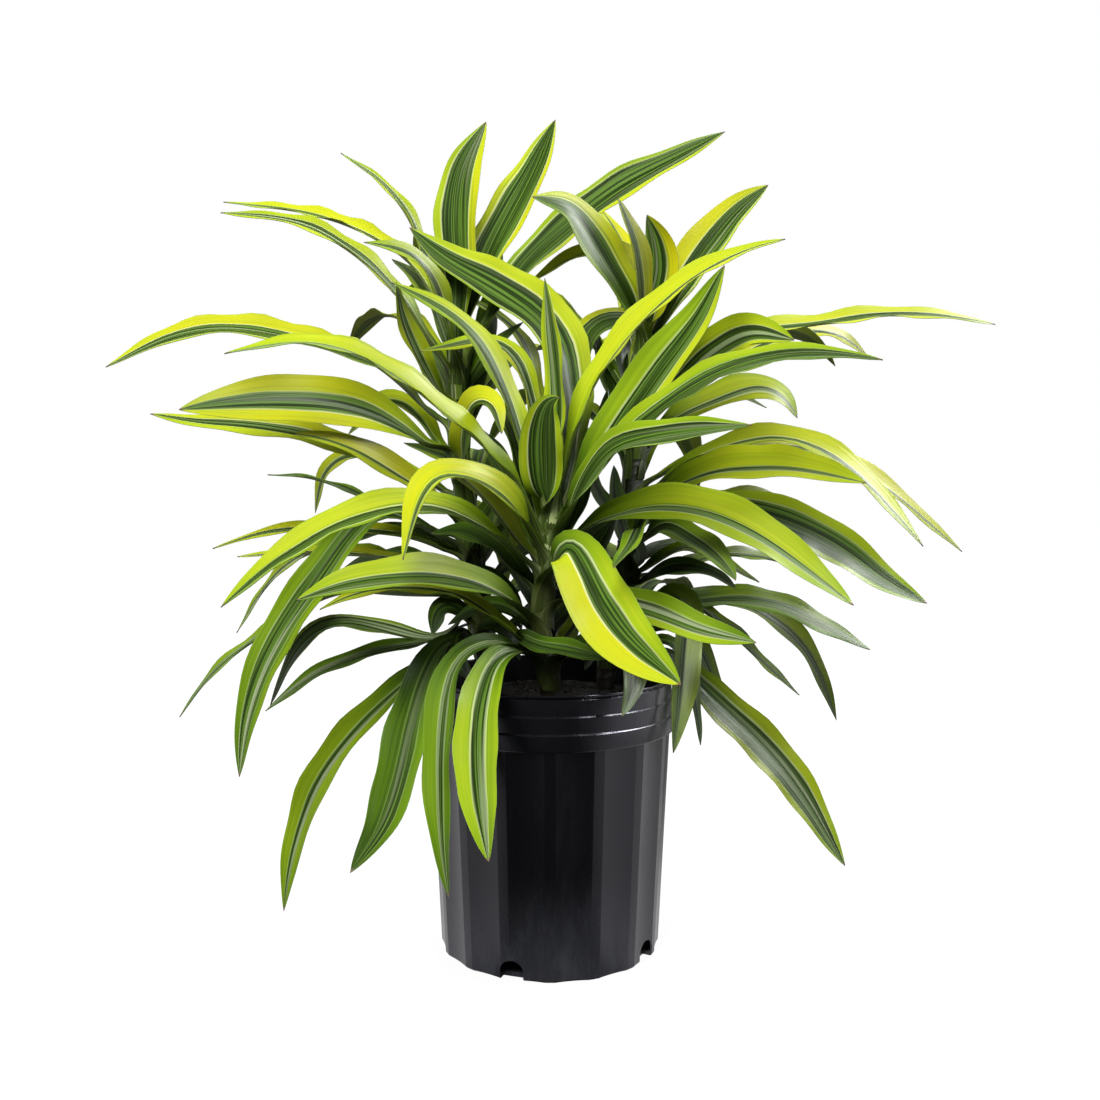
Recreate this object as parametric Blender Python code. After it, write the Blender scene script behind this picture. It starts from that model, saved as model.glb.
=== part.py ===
"""A lemon lime dracaena in a grower's pot: three leafy canes standing in soil.

Metres, +Z up. The origin is the middle of the pot's flat base, and the front is at -Y.
"""

import math
import random
from collections import namedtuple

import bmesh
import bpy
from mathutils import Matrix, Vector
from mathutils.bvhtree import BVHTree

CM = 0.01
UP = Vector((0, 0, 1))
# Lengths below this count as nothing
TINY = 1e-6

# The pot: a round rim over a body of flat facets
POT_HEIGHT = 0.268
POT_BASE_RADIUS = 0.1076
POT_NECK_RADIUS = 0.1180
POT_NECK_Z = 0.2160
POT_WALL = 0.0020
POT_FLOOR = 0.0040
POT_FOOT_BEVEL = 0.0016
# The walls inside are round above this height over the neck
ROUND_INSIDE_FROM = 0.004
FACETS = 16
CORNER_STRIP_DEG = 5.0
# The rings nearest the middle of the pot's floor and of the soil's foot
CENTRE_RING_RADIUS = 0.030
# Radius and height of each edge of the rim, from the neck up to the lip
RIM_EDGES = (
    (0.1214, 0.2166),
    (0.1224, 0.2178),
    (0.1220, 0.2318),
    (0.1208, 0.2331),
    (0.1205, 0.2476),
    (0.1195, 0.2489),
    (0.1191, 0.2637),
    (0.1174, 0.2645),
    (0.1189, 0.2657),
    (0.1190, 0.2672),
    (0.1180, POT_HEIGHT),
    (0.1167, 0.2672),
)
NOTCH_WIDTH = 0.022
NOTCH_HEIGHT = 0.0190
NOTCH_AZIMUTHS_DEG = (-19.5, 60.0, 157.0, 247.0)
NOTCH_ROUND_STEPS = 6
CUT_PAST = 0.010

# The soil
SOIL_TOP = 0.243
SOIL_MOUND = 0.006
FIT_GAP = 0.0003
SOIL_FOOT_RADIUS = 0.080
SOIL_SIDE_FROM = 0.024
SOIL_EDGE_DROP = 0.003
SOIL_BUMP = 0.0012
SOIL_RINGS = 4
SOIL_SIDES = 28

# The canes
CANE_FOOT_Z = 0.185
CANE_RADIUS = 0.0095
CANE_SIDES = 10
CANE_RINGS = 9
# The radius of the last rings of a cane, as shares of its own
CANE_TOP_SHARES = (0.9, 0.75, 0.35)
CANE_PATHS = {
    "front": (
        (0.000, -0.030, CANE_FOOT_Z),
        (0.000, -0.030, 0.255),
        (-0.008, -0.034, 0.330),
        (0.001, -0.040, 0.400),
        (0.002, -0.042, 0.450),
    ),
    "left": (
        (-0.060, 0.030, CANE_FOOT_Z),
        (-0.060, 0.030, 0.255),
        (-0.078, 0.040, 0.380),
        (-0.092, 0.048, 0.480),
        (-0.093, 0.052, 0.600),
    ),
    "right": (
        (0.056, 0.034, CANE_FOOT_Z),
        (0.056, 0.034, 0.255),
        (0.076, 0.046, 0.380),
        (0.086, 0.054, 0.470),
        (0.092, 0.058, 0.590),
    ),
}

# The leaves
BLADE_MIDDLE = 0.0014
BLADE_EDGE = 0.0008
BLADE_SEGMENT_LENGTH = 0.085
BLADE_LEAST_SEGMENTS = 4
BLADE_MOST_SEGMENTS = 6
BLADE_SAMPLES = 42
SPLINE_STEPS = 12
ROOT_SHARE = 0.30
WIDEST_AT = 0.55
TIP_SHARE = 0.05
ROOT_CURVE = 1.5
TIP_CURVE = 0.85
FOLD_AT_ROOT_DEG = 34.0
FOLD_AT_TIP_DEG = 9.0
# Past its base, the blade's middle sinks below its line by this share of the height of its edges
MIDDLE_SINKS = 0.5
SINKS_OVER = 0.30
# A blade turns its face to the front along this stretch, as shares of its length
TURN_FROM = 0.04
TURN_OVER = 0.30
TURN_MIDDLE = 0.55
# Colours and roughness of the plastic, the soil and the leaves, and the bends that show as edges
POT_COLOUR = (0.012, 0.012, 0.016)
POT_ROUGHNESS = 0.38
POT_SHARP_DEG = 25.0
SOIL_COLOUR = (0.035, 0.024, 0.016)
SOIL_ROUGHNESS = 0.95
SOIL_SHARP_DEG = 40.0
LEAF_COLOUR = (0.16, 0.32, 0.03)
LEAF_ROUGHNESS = 0.42
LEAF_SHARP_DEG = 35.0
# Where the leaves' places were taken from, standing in front of the plant
STANDPOINT = Vector((0.0, -1.20, 0.476))

# A leaf: its cane, the height of its root in cm, the points it passes in cm (across and up, as they
# appear on the upright plane through the pot's axis), how far behind that plane its tip lies in cm,
# its width in cm, and how squarely its upper face turns to the front, from -1 to 1.
Leaf = namedtuple("Leaf", "cane root path depth width face")

LEAVES = [
    # The middle of the front cane's head
    Leaf("front", 42, ((0.5, 48), (0.6, 54), (0.1, 60), (-0.5, 65.2)), -3.2, 2.7, 0.75),
    Leaf("front", 41, ((-0.5, 44), (-0.8, 48), (-0.7, 51.2), (-0.1, 53.4), (0.9, 53.8)), -7.9, 4.6, 0.95),
    Leaf("front", 41, ((-2.3, 48.5), (-4.4, 55), (-7.3, 60), (-11, 62.8), (-15.3, 64.8)), -3.2, 3.2, 0.65),
    Leaf(
        "front", 42,
        ((1.4, 46), (2.6, 52), (5, 57), (9.2, 62), (14, 65.8), (19, 68.1), (22.6, 68.9)),
        -3, 4.2, 0.45,
    ),
    Leaf("front", 40, ((2.8, 44.8), (5.8, 50), (10.4, 56.6), (14, 61.2), (16.8, 66.4)), -8, 5.4, 0.80),
    Leaf(
        "front", 42,
        ((1.8, 48), (2.2, 55), (0.4, 60.8), (-5, 64.8), (-10, 67.3), (-13.5, 70)),
        0, 5.6, 0.85,
    ),
    Leaf("front", 40, ((-1, 50), (-3, 57.3), (-5.6, 59.4), (-8.8, 58.9), (-12.6, 58.2)), -3.2, 3.4, 0.50),
    Leaf("front", 41, ((-0.8, 52), (-2.5, 59.3), (-5.5, 62), (-8.6, 63.7)), -1, 2.8, 0.45),
    Leaf("front", 41, ((2.2, 50), (2.8, 58), (4.6, 61.2), (8, 61.4), (11.2, 60.7)), -2, 4, 0.75),
    # The front cane's leaves, going left
    Leaf(
        "front", 38,
        ((-3.4, 46), (-7.6, 50.6), (-11.8, 54), (-14.3, 56), (-19.4, 58.7), (-24.5, 59.4), (-31.5, 58)),
        -14, 3.8, 0.40,
    ),
    Leaf(
        "front", 36,
        ((-2.9, 38.4), (-6.1, 41.2), (-9.8, 43.2), (-14, 43.7),
         (-20.7, 42), (-24.4, 39.8), (-28.2, 37.2), (-32.3, 33.3)),
        -15, 3.7, 0.70,
    ),
    Leaf(
        "front", 37,
        ((-3, 43.2), (-5.6, 45.6), (-8.6, 46.7), (-11.2, 46.6), (-13, 44.2), (-14.4, 38)),
        -17, 3.6, 0.60,
    ),
    Leaf("front", 37, ((-3.6, 40.8), (-6, 43.9), (-8.8, 46.3), (-11, 46.6)), -7, 3, -0.50),
    Leaf("front", 31, ((-4.6, 34.7), (-9.5, 36.5), (-15, 36.6), (-20, 35.8), (-24.9, 34)), -16, 4.7, 0.66),
    Leaf("front", 28, ((-4.8, 32), (-9, 34.8), (-14, 35.4), (-18.5, 34.9), (-22.6, 33.1)), -10, 3.4, 0.45),
    # The front cane's leaves, going right
    Leaf(
        "front", 38,
        ((2.6, 40.6), (5.4, 42.3), (9.4, 43.5), (14, 43.4), (19, 41.6), (24, 38.3), (29.8, 33.5)),
        -17, 4.4, 0.85,
    ),
    Leaf(
        "front", 38,
        ((2.6, 44.5), (5, 48.4), (8.6, 51.3), (13.5, 55), (19, 57.4), (26, 58.2), (32.2, 57.4)),
        -10, 3.8, 0.55,
    ),
    Leaf("front", 39, ((3.2, 45.5), (5.8, 49), (9.7, 50.2), (14.6, 50.8), (19.6, 51.1)), -15, 3.6, 0.65),
    Leaf(
        "front", 34.5,
        ((0.4, 37.8), (1.5, 39.6), (3, 37.4), (4.8, 33.6), (7.8, 29.6), (12.9, 25.6)),
        -22, 6.2, 0.97,
    ),
    Leaf("front", 33, ((3.4, 34.8), (7.6, 33.8), (11, 32.7), (15, 31.1), (20.3, 29.8)), -14, 3.8, 0.85),
    # The front cane's leaves, hanging over the rim
    Leaf(
        "front", 28,
        ((-3.2, 29.2), (-5.4, 28.3), (-6.8, 24.5), (-7.3, 20), (-7, 14), (-6.1, 7.8)),
        -19, 4.3, 0.95,
    ),
    Leaf("front", 28, ((3.4, 29.4), (6.2, 29.4), (8.2, 27.8), (8.2, 25.4), (7.1, 22.5)), -16, 2.8, 0.90),
    Leaf("front", 29, ((-3, 30.4), (-1.2, 29.7), (2, 29), (5.9, 28.2)), -9, 3, 0.60),
    # The left cane's head
    Leaf("left", 58, ((-8.7, 66), (-8.9, 70), (-8.4, 75.2), (-6.1, 79.9)), 9, 5.5, 0.85),
    Leaf("left", 58, ((-7.4, 64), (-5.3, 69), (-2.1, 74.7), (0.5, 80.1)), 8, 5.4, 0.80),
    Leaf(
        "left", 56,
        ((-5.4, 62), (-2.7, 66.2), (1.3, 69.9), (6.4, 73.8), (12.3, 76.8), (16.7, 79)),
        6, 4.8, 0.70,
    ),
    Leaf("left", 57, ((-11, 64), (-12.9, 70), (-15.5, 73.8), (-20, 77)), 12, 3, 0.35),
    Leaf("left", 57, ((-10.6, 62), (-12.8, 66.4), (-17.2, 69.5), (-23, 71.5), (-31.3, 72.4)), 9, 3.7, 0.30),
    Leaf(
        "left", 55,
        ((-11.8, 59.6), (-14.6, 63.8), (-18, 67.2), (-23.5, 70.4), (-31.6, 71.4)),
        2, 3.6, 0.40,
    ),
    Leaf("left", 56, ((-10, 62), (-11.2, 65.3), (-13, 67.4), (-15.2, 68.2), (-17.9, 68.6)), -3, 2.8, 0.55),
    Leaf("left", 56, ((-10.2, 60), (-11.6, 63.6), (-13.2, 65.6), (-15.2, 67)), 16, 3.2, 0.60),
    # The left cane's leaves, going left
    Leaf(
        "left", 52,
        ((-12.9, 55.2), (-17, 57.2), (-23, 59.3), (-30, 60.7), (-36, 60.1), (-43, 56.7)),
        1, 3.7, 0.60,
    ),
    Leaf("left", 50, ((-11.6, 52.3), (-14.4, 55.2), (-18, 57.8), (-23, 59.3), (-27, 59.8)), 12, 3.2, -0.40),
    Leaf(
        "left", 48,
        ((-11.5, 48.8), (-15, 51.4), (-20, 53.2), (-26, 53.6), (-31, 53.3), (-36, 52.6)),
        -9, 5.4, 0.90,
    ),
    Leaf(
        "left", 47,
        ((-11, 49.5), (-12.6, 52), (-14.6, 53.5), (-16.8, 53.2), (-19.6, 50.2)),
        17, 3.6, 0.50,
    ),
    Leaf(
        "left", 41,
        ((-11.6, 43.6), (-14.4, 46), (-18.1, 48.4), (-23.2, 50.2),
         (-29.6, 51.2), (-34, 51.4), (-38.8, 52.2)),
        -3, 3.6, 0.65,
    ),
    Leaf(
        "left", 40,
        ((-11.6, 44.4), (-14.5, 46.4), (-18, 48.5), (-21.5, 49.8), (-25, 50.3)),
        -1, 3.4, 0.65,
    ),
    Leaf(
        "left", 43,
        ((-14.6, 47.3), (-17.6, 48.3), (-20.2, 48.2), (-22, 46.6), (-22.6, 44.6), (-22.9, 42.6)),
        18, 2.8, 0.60,
    ),
    Leaf("left", 39, ((-13.5, 41.9), (-18, 44.1), (-23, 46), (-27.5, 46.3)), 10, 2, 0.22),
    Leaf("left", 37, ((-13, 40.2), (-17.5, 40.9), (-22, 41.1), (-27.5, 40.8), (-33, 39.1)), 4, 3, 0.35),
    Leaf("left", 36, ((-12.6, 37.8), (-18, 38.6), (-24, 38.8), (-30.6, 38.3)), 12, 3, 0.35),
    # The left cane's leaves, hanging
    Leaf(
        "left", 38,
        ((-12.5, 41.2), (-15.6, 43), (-18.4, 42.2), (-20.4, 39.8), (-22.9, 36.2),
         (-25.9, 32), (-28.4, 27.4), (-30.1, 22.1), (-30.8, 16.4)),
        -8, 4.3, 0.85,
    ),
    Leaf(
        "left", 35,
        ((-13.5, 37.6), (-19, 39.2), (-24, 38.7), (-27.6, 35.8), (-30.8, 30.8)),
        15, 2.6, 0.35,
    ),
    Leaf("left", 34, ((-14, 34.6), (-21, 34.9), (-28, 30.9), (-33, 27.2), (-36.6, 22.4)), 11, 2.8, 0.35),
    Leaf(
        "left", 33,
        ((-10.4, 30.4), (-13.2, 30.4), (-17.1, 31.4), (-20.5, 32),
         (-23.4, 30.9), (-25.4, 28.4), (-27.6, 23.6)),
        -3, 2.8, 0.55,
    ),
    Leaf("left", 31, ((-11.5, 30.2), (-15, 29.4), (-19.5, 28.4), (-24, 26.2), (-28.1, 23)), 3, 2.7, 0.55),
    Leaf(
        "left", 29,
        ((-10, 30.3), (-12.2, 27.3), (-13.9, 22), (-15, 17), (-16.7, 11.5), (-19.9, 6.7)),
        -12, 4.6, 0.88,
    ),
    Leaf(
        "left", 30,
        ((-10.6, 28.6), (-13.4, 26.9), (-15.7, 24.8), (-18.3, 22.4), (-20.9, 19.4),
         (-23.3, 15.9), (-25, 11.4), (-26.1, 7), (-26.6, 2.8)),
        -2, 3.8, 0.80,
    ),
    Leaf(
        "front", 27.5,
        ((-3.6, 29.6), (-7, 30), (-9.8, 27.6), (-11, 21), (-11.1, 14), (-10.8, 9), (-10.1, 4.2)),
        -20, 3.4, 0.80,
    ),
    Leaf("left", 44, ((-8.6, 50), (-7.4, 53.4), (-5.7, 53.3), (-4.7, 50.3)), -12, 3.8, 0.60),
    # The right cane's head
    Leaf(
        "right", 57,
        ((8.4, 61.7), (7.2, 64.2), (5.4, 67.1), (3.5, 70.1), (1.8, 72), (-1.7, 72.9)),
        -1, 5.2, 0.70,
    ),
    Leaf("right", 56, ((9.2, 62), (8.6, 66), (6.6, 68), (3.8, 68), (1, 66.8), (-2.2, 64.6)), 11, 3, -0.55),
    Leaf("right", 58, ((9, 64), (8.2, 68.6), (7.3, 71), (6.5, 72.7)), 14, 4.4, 0.40),
    Leaf("right", 58, ((10, 63), (10.8, 66), (10.4, 69), (9.3, 71.2)), 9, 4.6, 0.85),
    Leaf("right", 57, ((8.6, 63), (7.8, 66.8), (6.2, 70), (4.6, 72)), 15, 3.4, 0.60),
    Leaf("right", 57, ((11.4, 62.8), (13.4, 66.4), (15.7, 69.5), (18, 72), (20.9, 74)), 4, 4.6, 0.90),
    Leaf("right", 53, ((12.2, 55.4), (15.4, 58.3), (19.2, 60.2), (23.6, 59.3)), -9, 4.3, 0.90),
    Leaf(
        "right", 54,
        ((13, 58.7), (18, 60.3), (25, 60.9), (32, 61.9), (38, 61.7), (43, 60.8)),
        9, 3.2, 0.45,
    ),
    Leaf(
        "right", 53,
        ((13.4, 57.4), (18.6, 59.4), (22.6, 60.1), (25.6, 59.2), (27.6, 56.8)),
        14, 3.8, -0.60,
    ),
    Leaf("right", 52, ((13, 55.8), (18.5, 58.2), (24, 60.2), (28, 59.9), (31, 57.4)), 18, 4.2, 0.50),
    # The right cane's leaves, going right
    Leaf("right", 49, ((12.6, 52.2), (16.6, 53.9), (20.4, 54.9), (22.8, 53.8), (24, 51.8)), 6, 4.2, 0.70),
    Leaf("right", 47, ((12.4, 52), (15.6, 54.2), (18.4, 54), (21, 52.8)), 14, 3.2, 0.30),
    Leaf(
        "right", 43,
        ((10.6, 45.2), (13.2, 47.6), (16.4, 49.2), (21.5, 50.3), (24.9, 49.8),
         (28, 48.2), (30.3, 46.4), (32.3, 44.3), (34.5, 41.8), (36.5, 39.3)),
        -4, 3.4, 0.60,
    ),
    Leaf(
        "right", 44,
        ((12.6, 47.4), (17.3, 48.9), (21.5, 49.6), (25.5, 49),
         (29.2, 47.4), (33.2, 45), (36.2, 42.4), (40.3, 38.8)),
        8, 3.4, 0.50,
    ),
    Leaf("right", 42, ((11.6, 45.1), (15, 46.8), (20, 47.5), (25.5, 47), (30.8, 45.5)), -12, 4.3, 0.78),
    Leaf("right", 40, ((12.4, 43), (17, 44.2), (21.4, 44.2), (24.1, 42.4), (26, 40.1)), 7, 2.8, 0.45),
    Leaf(
        "right", 38,
        ((12, 41.8), (17, 43.2), (23, 41.9), (28.4, 39.3), (33, 35.9), (37, 33.7)),
        -3, 5, 0.85,
    ),
    Leaf("right", 38, ((11, 41.4), (14.2, 39.9), (16.6, 38), (18.2, 36)), -14, 3.8, 0.65),
    Leaf("right", 37, ((8.8, 42.4), (8.4, 40.4), (6.2, 37.2)), -17, 3, 0.55),
    Leaf("right", 35, ((11, 38.3), (13.4, 39.5), (16.5, 38), (20.5, 35.8)), -7, 2.6, 0.45),
    Leaf("right", 35, ((12.5, 37.4), (17, 38.6), (21.5, 38.2), (25.5, 36.8)), 12, 2.6, 0.40),
    # The right cane's leaves, hanging
    Leaf("right", 32, ((12, 33.6), (17, 34.2), (21.5, 33.9), (26, 32), (31.5, 29.1)), 3, 3.7, 0.65),
    Leaf("right", 31, ((12, 33.8), (15.4, 33), (19, 29.9), (22, 27), (24.6, 24.6)), 9, 3, 0.40),
    Leaf(
        "right", 33,
        ((13, 34.6), (18.6, 34), (22.9, 31.8), (25.6, 28.8), (27.2, 25.4), (28.3, 22.1)),
        14, 3.2, 0.70,
    ),
    Leaf("right", 30, ((12, 34.9), (13.6, 33.6), (13.4, 28), (13, 23.8), (12.2, 18.8)), -8, 3.4, 0.85),
    Leaf(
        "right", 28,
        ((12, 28.4), (14.7, 25.6), (18.2, 22.4), (21.9, 18.8), (25.3, 14.4), (27.5, 10.6), (29.4, 7.4)),
        -3, 4.6, 0.88,
    ),
    Leaf("right", 29, ((12.6, 31.5), (15, 28.8), (16.6, 24.6), (18, 20.5)), 4, 2.8, 0.65),
    Leaf("right", 28, ((11.6, 30), (13.4, 27.4), (14.4, 23.4), (14.9, 19.6)), -1, 2.2, 0.60),
    # The dark leaves inside, between the canes
    Leaf("front", 31, ((-1.8, 34), (-3.8, 37.4), (-6.6, 41), (-10, 43.6)), 3, 4.4, 0.45),
    Leaf("front", 30, ((1.6, 32.6), (3.4, 35), (6, 37.4), (9, 38.6)), 3, 4, 0.45),
    Leaf("front", 27, ((1.4, 28.4), (3.4, 30), (6, 30.4), (8.6, 28.8)), -6, 2.8, 0.60),
    Leaf("left", 34, ((-8.4, 38), (-6.8, 41.5), (-5.2, 44), (-4, 45.6)), 1, 3.4, 0.50),
    Leaf("left", 32, ((-8.6, 35.6), (-6.4, 36.4), (-4.2, 34.4), (-2.8, 31)), 0, 3.8, 0.60),
    Leaf("left", 28, ((-7.6, 30.6), (-6, 31.8), (-4, 30.8), (-3, 28)), 0, 2.8, 0.60),
    Leaf("left", 48, ((-8.4, 52), (-6.6, 56), (-5.6, 60), (-5.6, 63.4)), 8, 3.4, 0.50),
    Leaf("right", 34, ((8.6, 37.6), (7.4, 40.6), (6.4, 43.6), (6.2, 47.2)), 1, 4.6, 0.50),
    Leaf("right", 30, ((8.4, 32.8), (6.4, 33.6), (4.4, 31.4), (3.2, 28)), 1, 3, 0.60),
    Leaf("right", 28, ((8, 30), (6.2, 30.6), (4.4, 29), (3.4, 27)), 5, 2.6, 0.60),
    Leaf("right", 48, ((9, 52), (7.4, 56), (6.8, 60), (7.2, 63.4)), 8, 3.4, 0.50),
    Leaf("front", 38, ((-1.8, 43), (-2.9, 47), (-3.9, 50.6), (-5.4, 54)), -2, 3.2, 0.50),
    Leaf("front", 36, ((-3, 41), (-5.6, 44.8), (-9.4, 47.8), (-14.2, 49.4)), -1, 4, 0.50),
    Leaf("front", 37, ((2, 41.5), (3.4, 45), (4.7, 49.5), (5.6, 54.6)), -1, 4.2, 0.50),
    Leaf("front", 34, ((-3, 37), (-5.6, 39.6), (-8.6, 40.9), (-11.6, 40.6)), 0, 4, 0.50),
    Leaf("front", 29, ((-2.2, 31.6), (-4.6, 33.2), (-7.4, 33.2), (-10, 31.6)), -2, 3, 0.50),
    Leaf("front", 34, ((2, 38), (4, 40.4), (6.6, 42.2), (9.8, 43)), 2, 4, 0.50),
    Leaf("front", 39, ((-3, 44.6), (-4.8, 47.4), (-6.6, 50), (-8.4, 52)), 2, 4.2, 0.50),
    Leaf("left", 50, ((-8.4, 54), (-6.6, 57), (-4.6, 59.4), (-2.6, 61)), 6, 3.2, 0.50),
    Leaf("left", 52, ((-7.8, 57), (-6.4, 61), (-5.2, 65), (-4.6, 68)), 10, 3.2, 0.50),
    Leaf("left", 28, ((-8.4, 30.6), (-8.8, 29.4), (-8.4, 27.6), (-7.4, 26)), -2, 2.8, 0.60),
    Leaf("right", 47, ((7.4, 51.6), (5.8, 55), (4.6, 58.6), (4, 61.6)), 6, 3.2, 0.50),
    Leaf("right", 36, ((7, 40.6), (5, 44), (3.6, 47.4), (3, 50)), 4, 3, 0.50),
    Leaf("right", 28, ((5.6, 31), (3.8, 32.8), (1.8, 33.2), (0, 32)), 0, 2.8, 0.50),
    Leaf("front", 33, ((2.6, 35.6), (4.4, 38.2), (5.8, 40.6), (6.6, 43.4)), 0, 3.2, 0.50),
    Leaf("right", 34, ((9.8, 36.4), (12.8, 37.2), (15.6, 36.8), (18.2, 35.2)), -6, 3, 0.50),
    Leaf("right", 36, ((10.4, 39), (12.6, 39.4), (15, 38.8), (17.4, 37.4)), 12, 3, 0.50),
    Leaf("left", 33, ((-7.6, 36.4), (-6.4, 38.6), (-5, 40.6), (-3.8, 42.6)), 4, 3, 0.50),
    Leaf("left", 30, ((-8.6, 32.6), (-10, 33.4), (-11, 32.6), (-11.6, 30.6)), 5, 3.4, 0.60),
    Leaf("left", 37, ((-11, 40), (-13.6, 41), (-16.4, 40.9), (-19.4, 39.8)), 6, 2.8, 0.50),
    Leaf("left", 35, ((-11, 37.4), (-14, 38.4), (-17.4, 38.2), (-20.6, 36.9)), 8, 2.8, 0.50),
    Leaf("left", 52, ((-11.4, 55.6), (-13, 58.6), (-14.2, 61.6), (-14.8, 64.8)), 3, 3.2, 0.60),
    Leaf("front", 27.5, ((1.4, 30.4), (2.6, 32), (2.6, 34), (1.8, 36)), 3, 2.6, 0.50),
]

# The leaves behind, which the front hides, go round each cane by the golden angle. One that finds no
# place clear of the others is left out.
GOLDEN_ANGLE_DEG = 137.5
BackRow = namedtuple("BackRow", "cane count low high first_deg last_deg")
BACK_ROWS = (
    BackRow("left", 16, 0.275, 0.560, 52.0, 108.0),
    BackRow("right", 16, 0.275, 0.550, 66.0, 130.0),
    BackRow("front", 5, 0.30, 0.390, 78.0, 102.0),
)
BACK_LENGTH = 0.40
BACK_WIDTH = 0.039
# How steeply the lowest and the highest of them leave the cane, and how steeply their tips point
BACK_RISE_DEG = (40.0, 63.0)
BACK_FALL_DEG = (-84.0, -24.0)
BACK_CURVE = 1.2
# How much each of them differs by a random draw
BACK_LENGTH_DRAW = (0.82, 1.08)
BACK_WIDTH_DRAW = (0.9, 1.1)
BACK_RISE_DRAW = 6.0
BACK_FALL_DRAW = 14.0
# How far a leaf behind turns round its cane for each metre by which it is bent clear
BACK_TURN = 1.5
RANDOM_SEED = 7

# A leaf is tried this much further behind or in front each time, so many times each way, with a skin
# round it. Past this share of their length, the leaves of one cane keep clear of each other too.
CLEAR_STEP = 0.010
CLEAR_TRIES = 16
CLEAR_SKIN = 0.0022
JOINED_SHARE = 0.24
# A triangle that nothing touches: a cane's own leaves may touch it
FAR_BELOW = ((0, 0, -9), (0, 1, -9), (1, 0, -9))


def appears_at(across, up, behind):
    """The point that lies `behind` the pot's middle plane and appears on it at (across, up)."""
    on_plane = Vector((across, 0.0, up))
    reach = (behind - STANDPOINT.y) / -STANDPOINT.y
    return STANDPOINT + (on_plane - STANDPOINT) * reach


def spline_points(knots, count):
    """`count` points, evenly spaced, along a smooth curve through the knots."""
    ends = [knots[0] * 2 - knots[1]] + list(knots) + [knots[-1] * 2 - knots[-2]]
    fine = []
    for before, start, end, after in zip(ends, ends[1:], ends[2:], ends[3:]):
        span = max((end - start).length, TINY)
        leave = (end - before) * (span / max((end - before).length, TINY))
        arrive = (after - start) * (span / max((after - start).length, TINY))
        for step in range(SPLINE_STEPS):
            s = step / SPLINE_STEPS
            fine.append(
                start * (2 * s**3 - 3 * s**2 + 1)
                + leave * (s**3 - 2 * s**2 + s)
                + end * (3 * s**2 - 2 * s**3)
                + arrive * (s**3 - s**2)
            )
    fine.append(knots[-1].copy())
    return evenly_spaced(fine, count)


def evenly_spaced(points, count):
    """`count` points at equal distances along a polyline."""
    lengths = [0.0]
    for start, end in zip(points, points[1:]):
        lengths.append(lengths[-1] + (end - start).length)
    found = []
    piece = 0
    for i in range(count):
        target = lengths[-1] * i / (count - 1)
        while piece < len(points) - 2 and lengths[piece + 1] < target:
            piece += 1
        span = max(lengths[piece + 1] - lengths[piece], TINY)
        found.append(points[piece].lerp(points[piece + 1], min(1.0, (target - lengths[piece]) / span)))
    return found


def cane_point(cane, height):
    """The point on a cane's middle line at a height above the floor."""
    path = [Vector(p) for p in CANE_PATHS[cane]]
    for low, high in zip(path, path[1:]):
        if height <= high.z or high is path[-1]:
            return low.lerp(high, (height - low.z) / (high.z - low.z))


def smooth_step(value):
    value = min(1.0, max(0.0, value))
    return value * value * (3 - 2 * value)


def width_share(t):
    """How wide the blade is at t, from root 0 to tip 1, as a share of its greatest width."""
    if t < WIDEST_AT:
        return ROOT_SHARE + (1 - ROOT_SHARE) * math.sin(math.pi / 2 * t / WIDEST_AT) ** ROOT_CURVE
    u = (t - WIDEST_AT) / (1 - WIDEST_AT)
    return TIP_SHARE + (1 - TIP_SHARE) * (1 - u * u) ** TIP_CURVE


def front_leaf_line(leaf, shift):
    """The middle line of a listed leaf, with its tip moved `shift` further behind."""
    root = cane_point(leaf.cane, leaf.root * CM)
    across = [root.x * -STANDPOINT.y / (root.y - STANDPOINT.y)] + [p[0] * CM for p in leaf.path]
    up = [STANDPOINT.z + (root.z - STANDPOINT.z) * -STANDPOINT.y / (root.y - STANDPOINT.y)]
    up += [p[1] * CM for p in leaf.path]
    run = [0.0]
    for i in range(1, len(across)):
        run.append(run[-1] + math.hypot(across[i] - across[i - 1], up[i] - up[i - 1]))
    tip = leaf.depth * CM + shift
    depths = [root.y + (tip - root.y) * r / run[-1] for r in run]
    knots = [appears_at(*place) for place in zip(across, up, depths)]
    return spline_points(knots, BLADE_SAMPLES)


def back_leaf_line(root, azimuth, length, rise, fall):
    """The middle line of a leaf that rises from its root and arches over, given angles in radians."""
    away = Vector((math.cos(azimuth), math.sin(azimuth), 0.0))
    points = [root.copy()]
    step = length / (BLADE_SAMPLES - 1)
    for i in range(1, BLADE_SAMPLES):
        t = (i - 0.5) / (BLADE_SAMPLES - 1)
        slope = rise + (fall - rise) * t**BACK_CURVE
        points.append(points[-1] + (away * math.cos(slope) + UP * math.sin(slope)) * step)
    return points


def back_leaf_frames(root, azimuth, length, rise, fall):
    return blade_frames(back_leaf_line(root, azimuth, length, rise, fall), None)


def between(ends, share):
    return ends[0] + (ends[1] - ends[0]) * share


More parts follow.
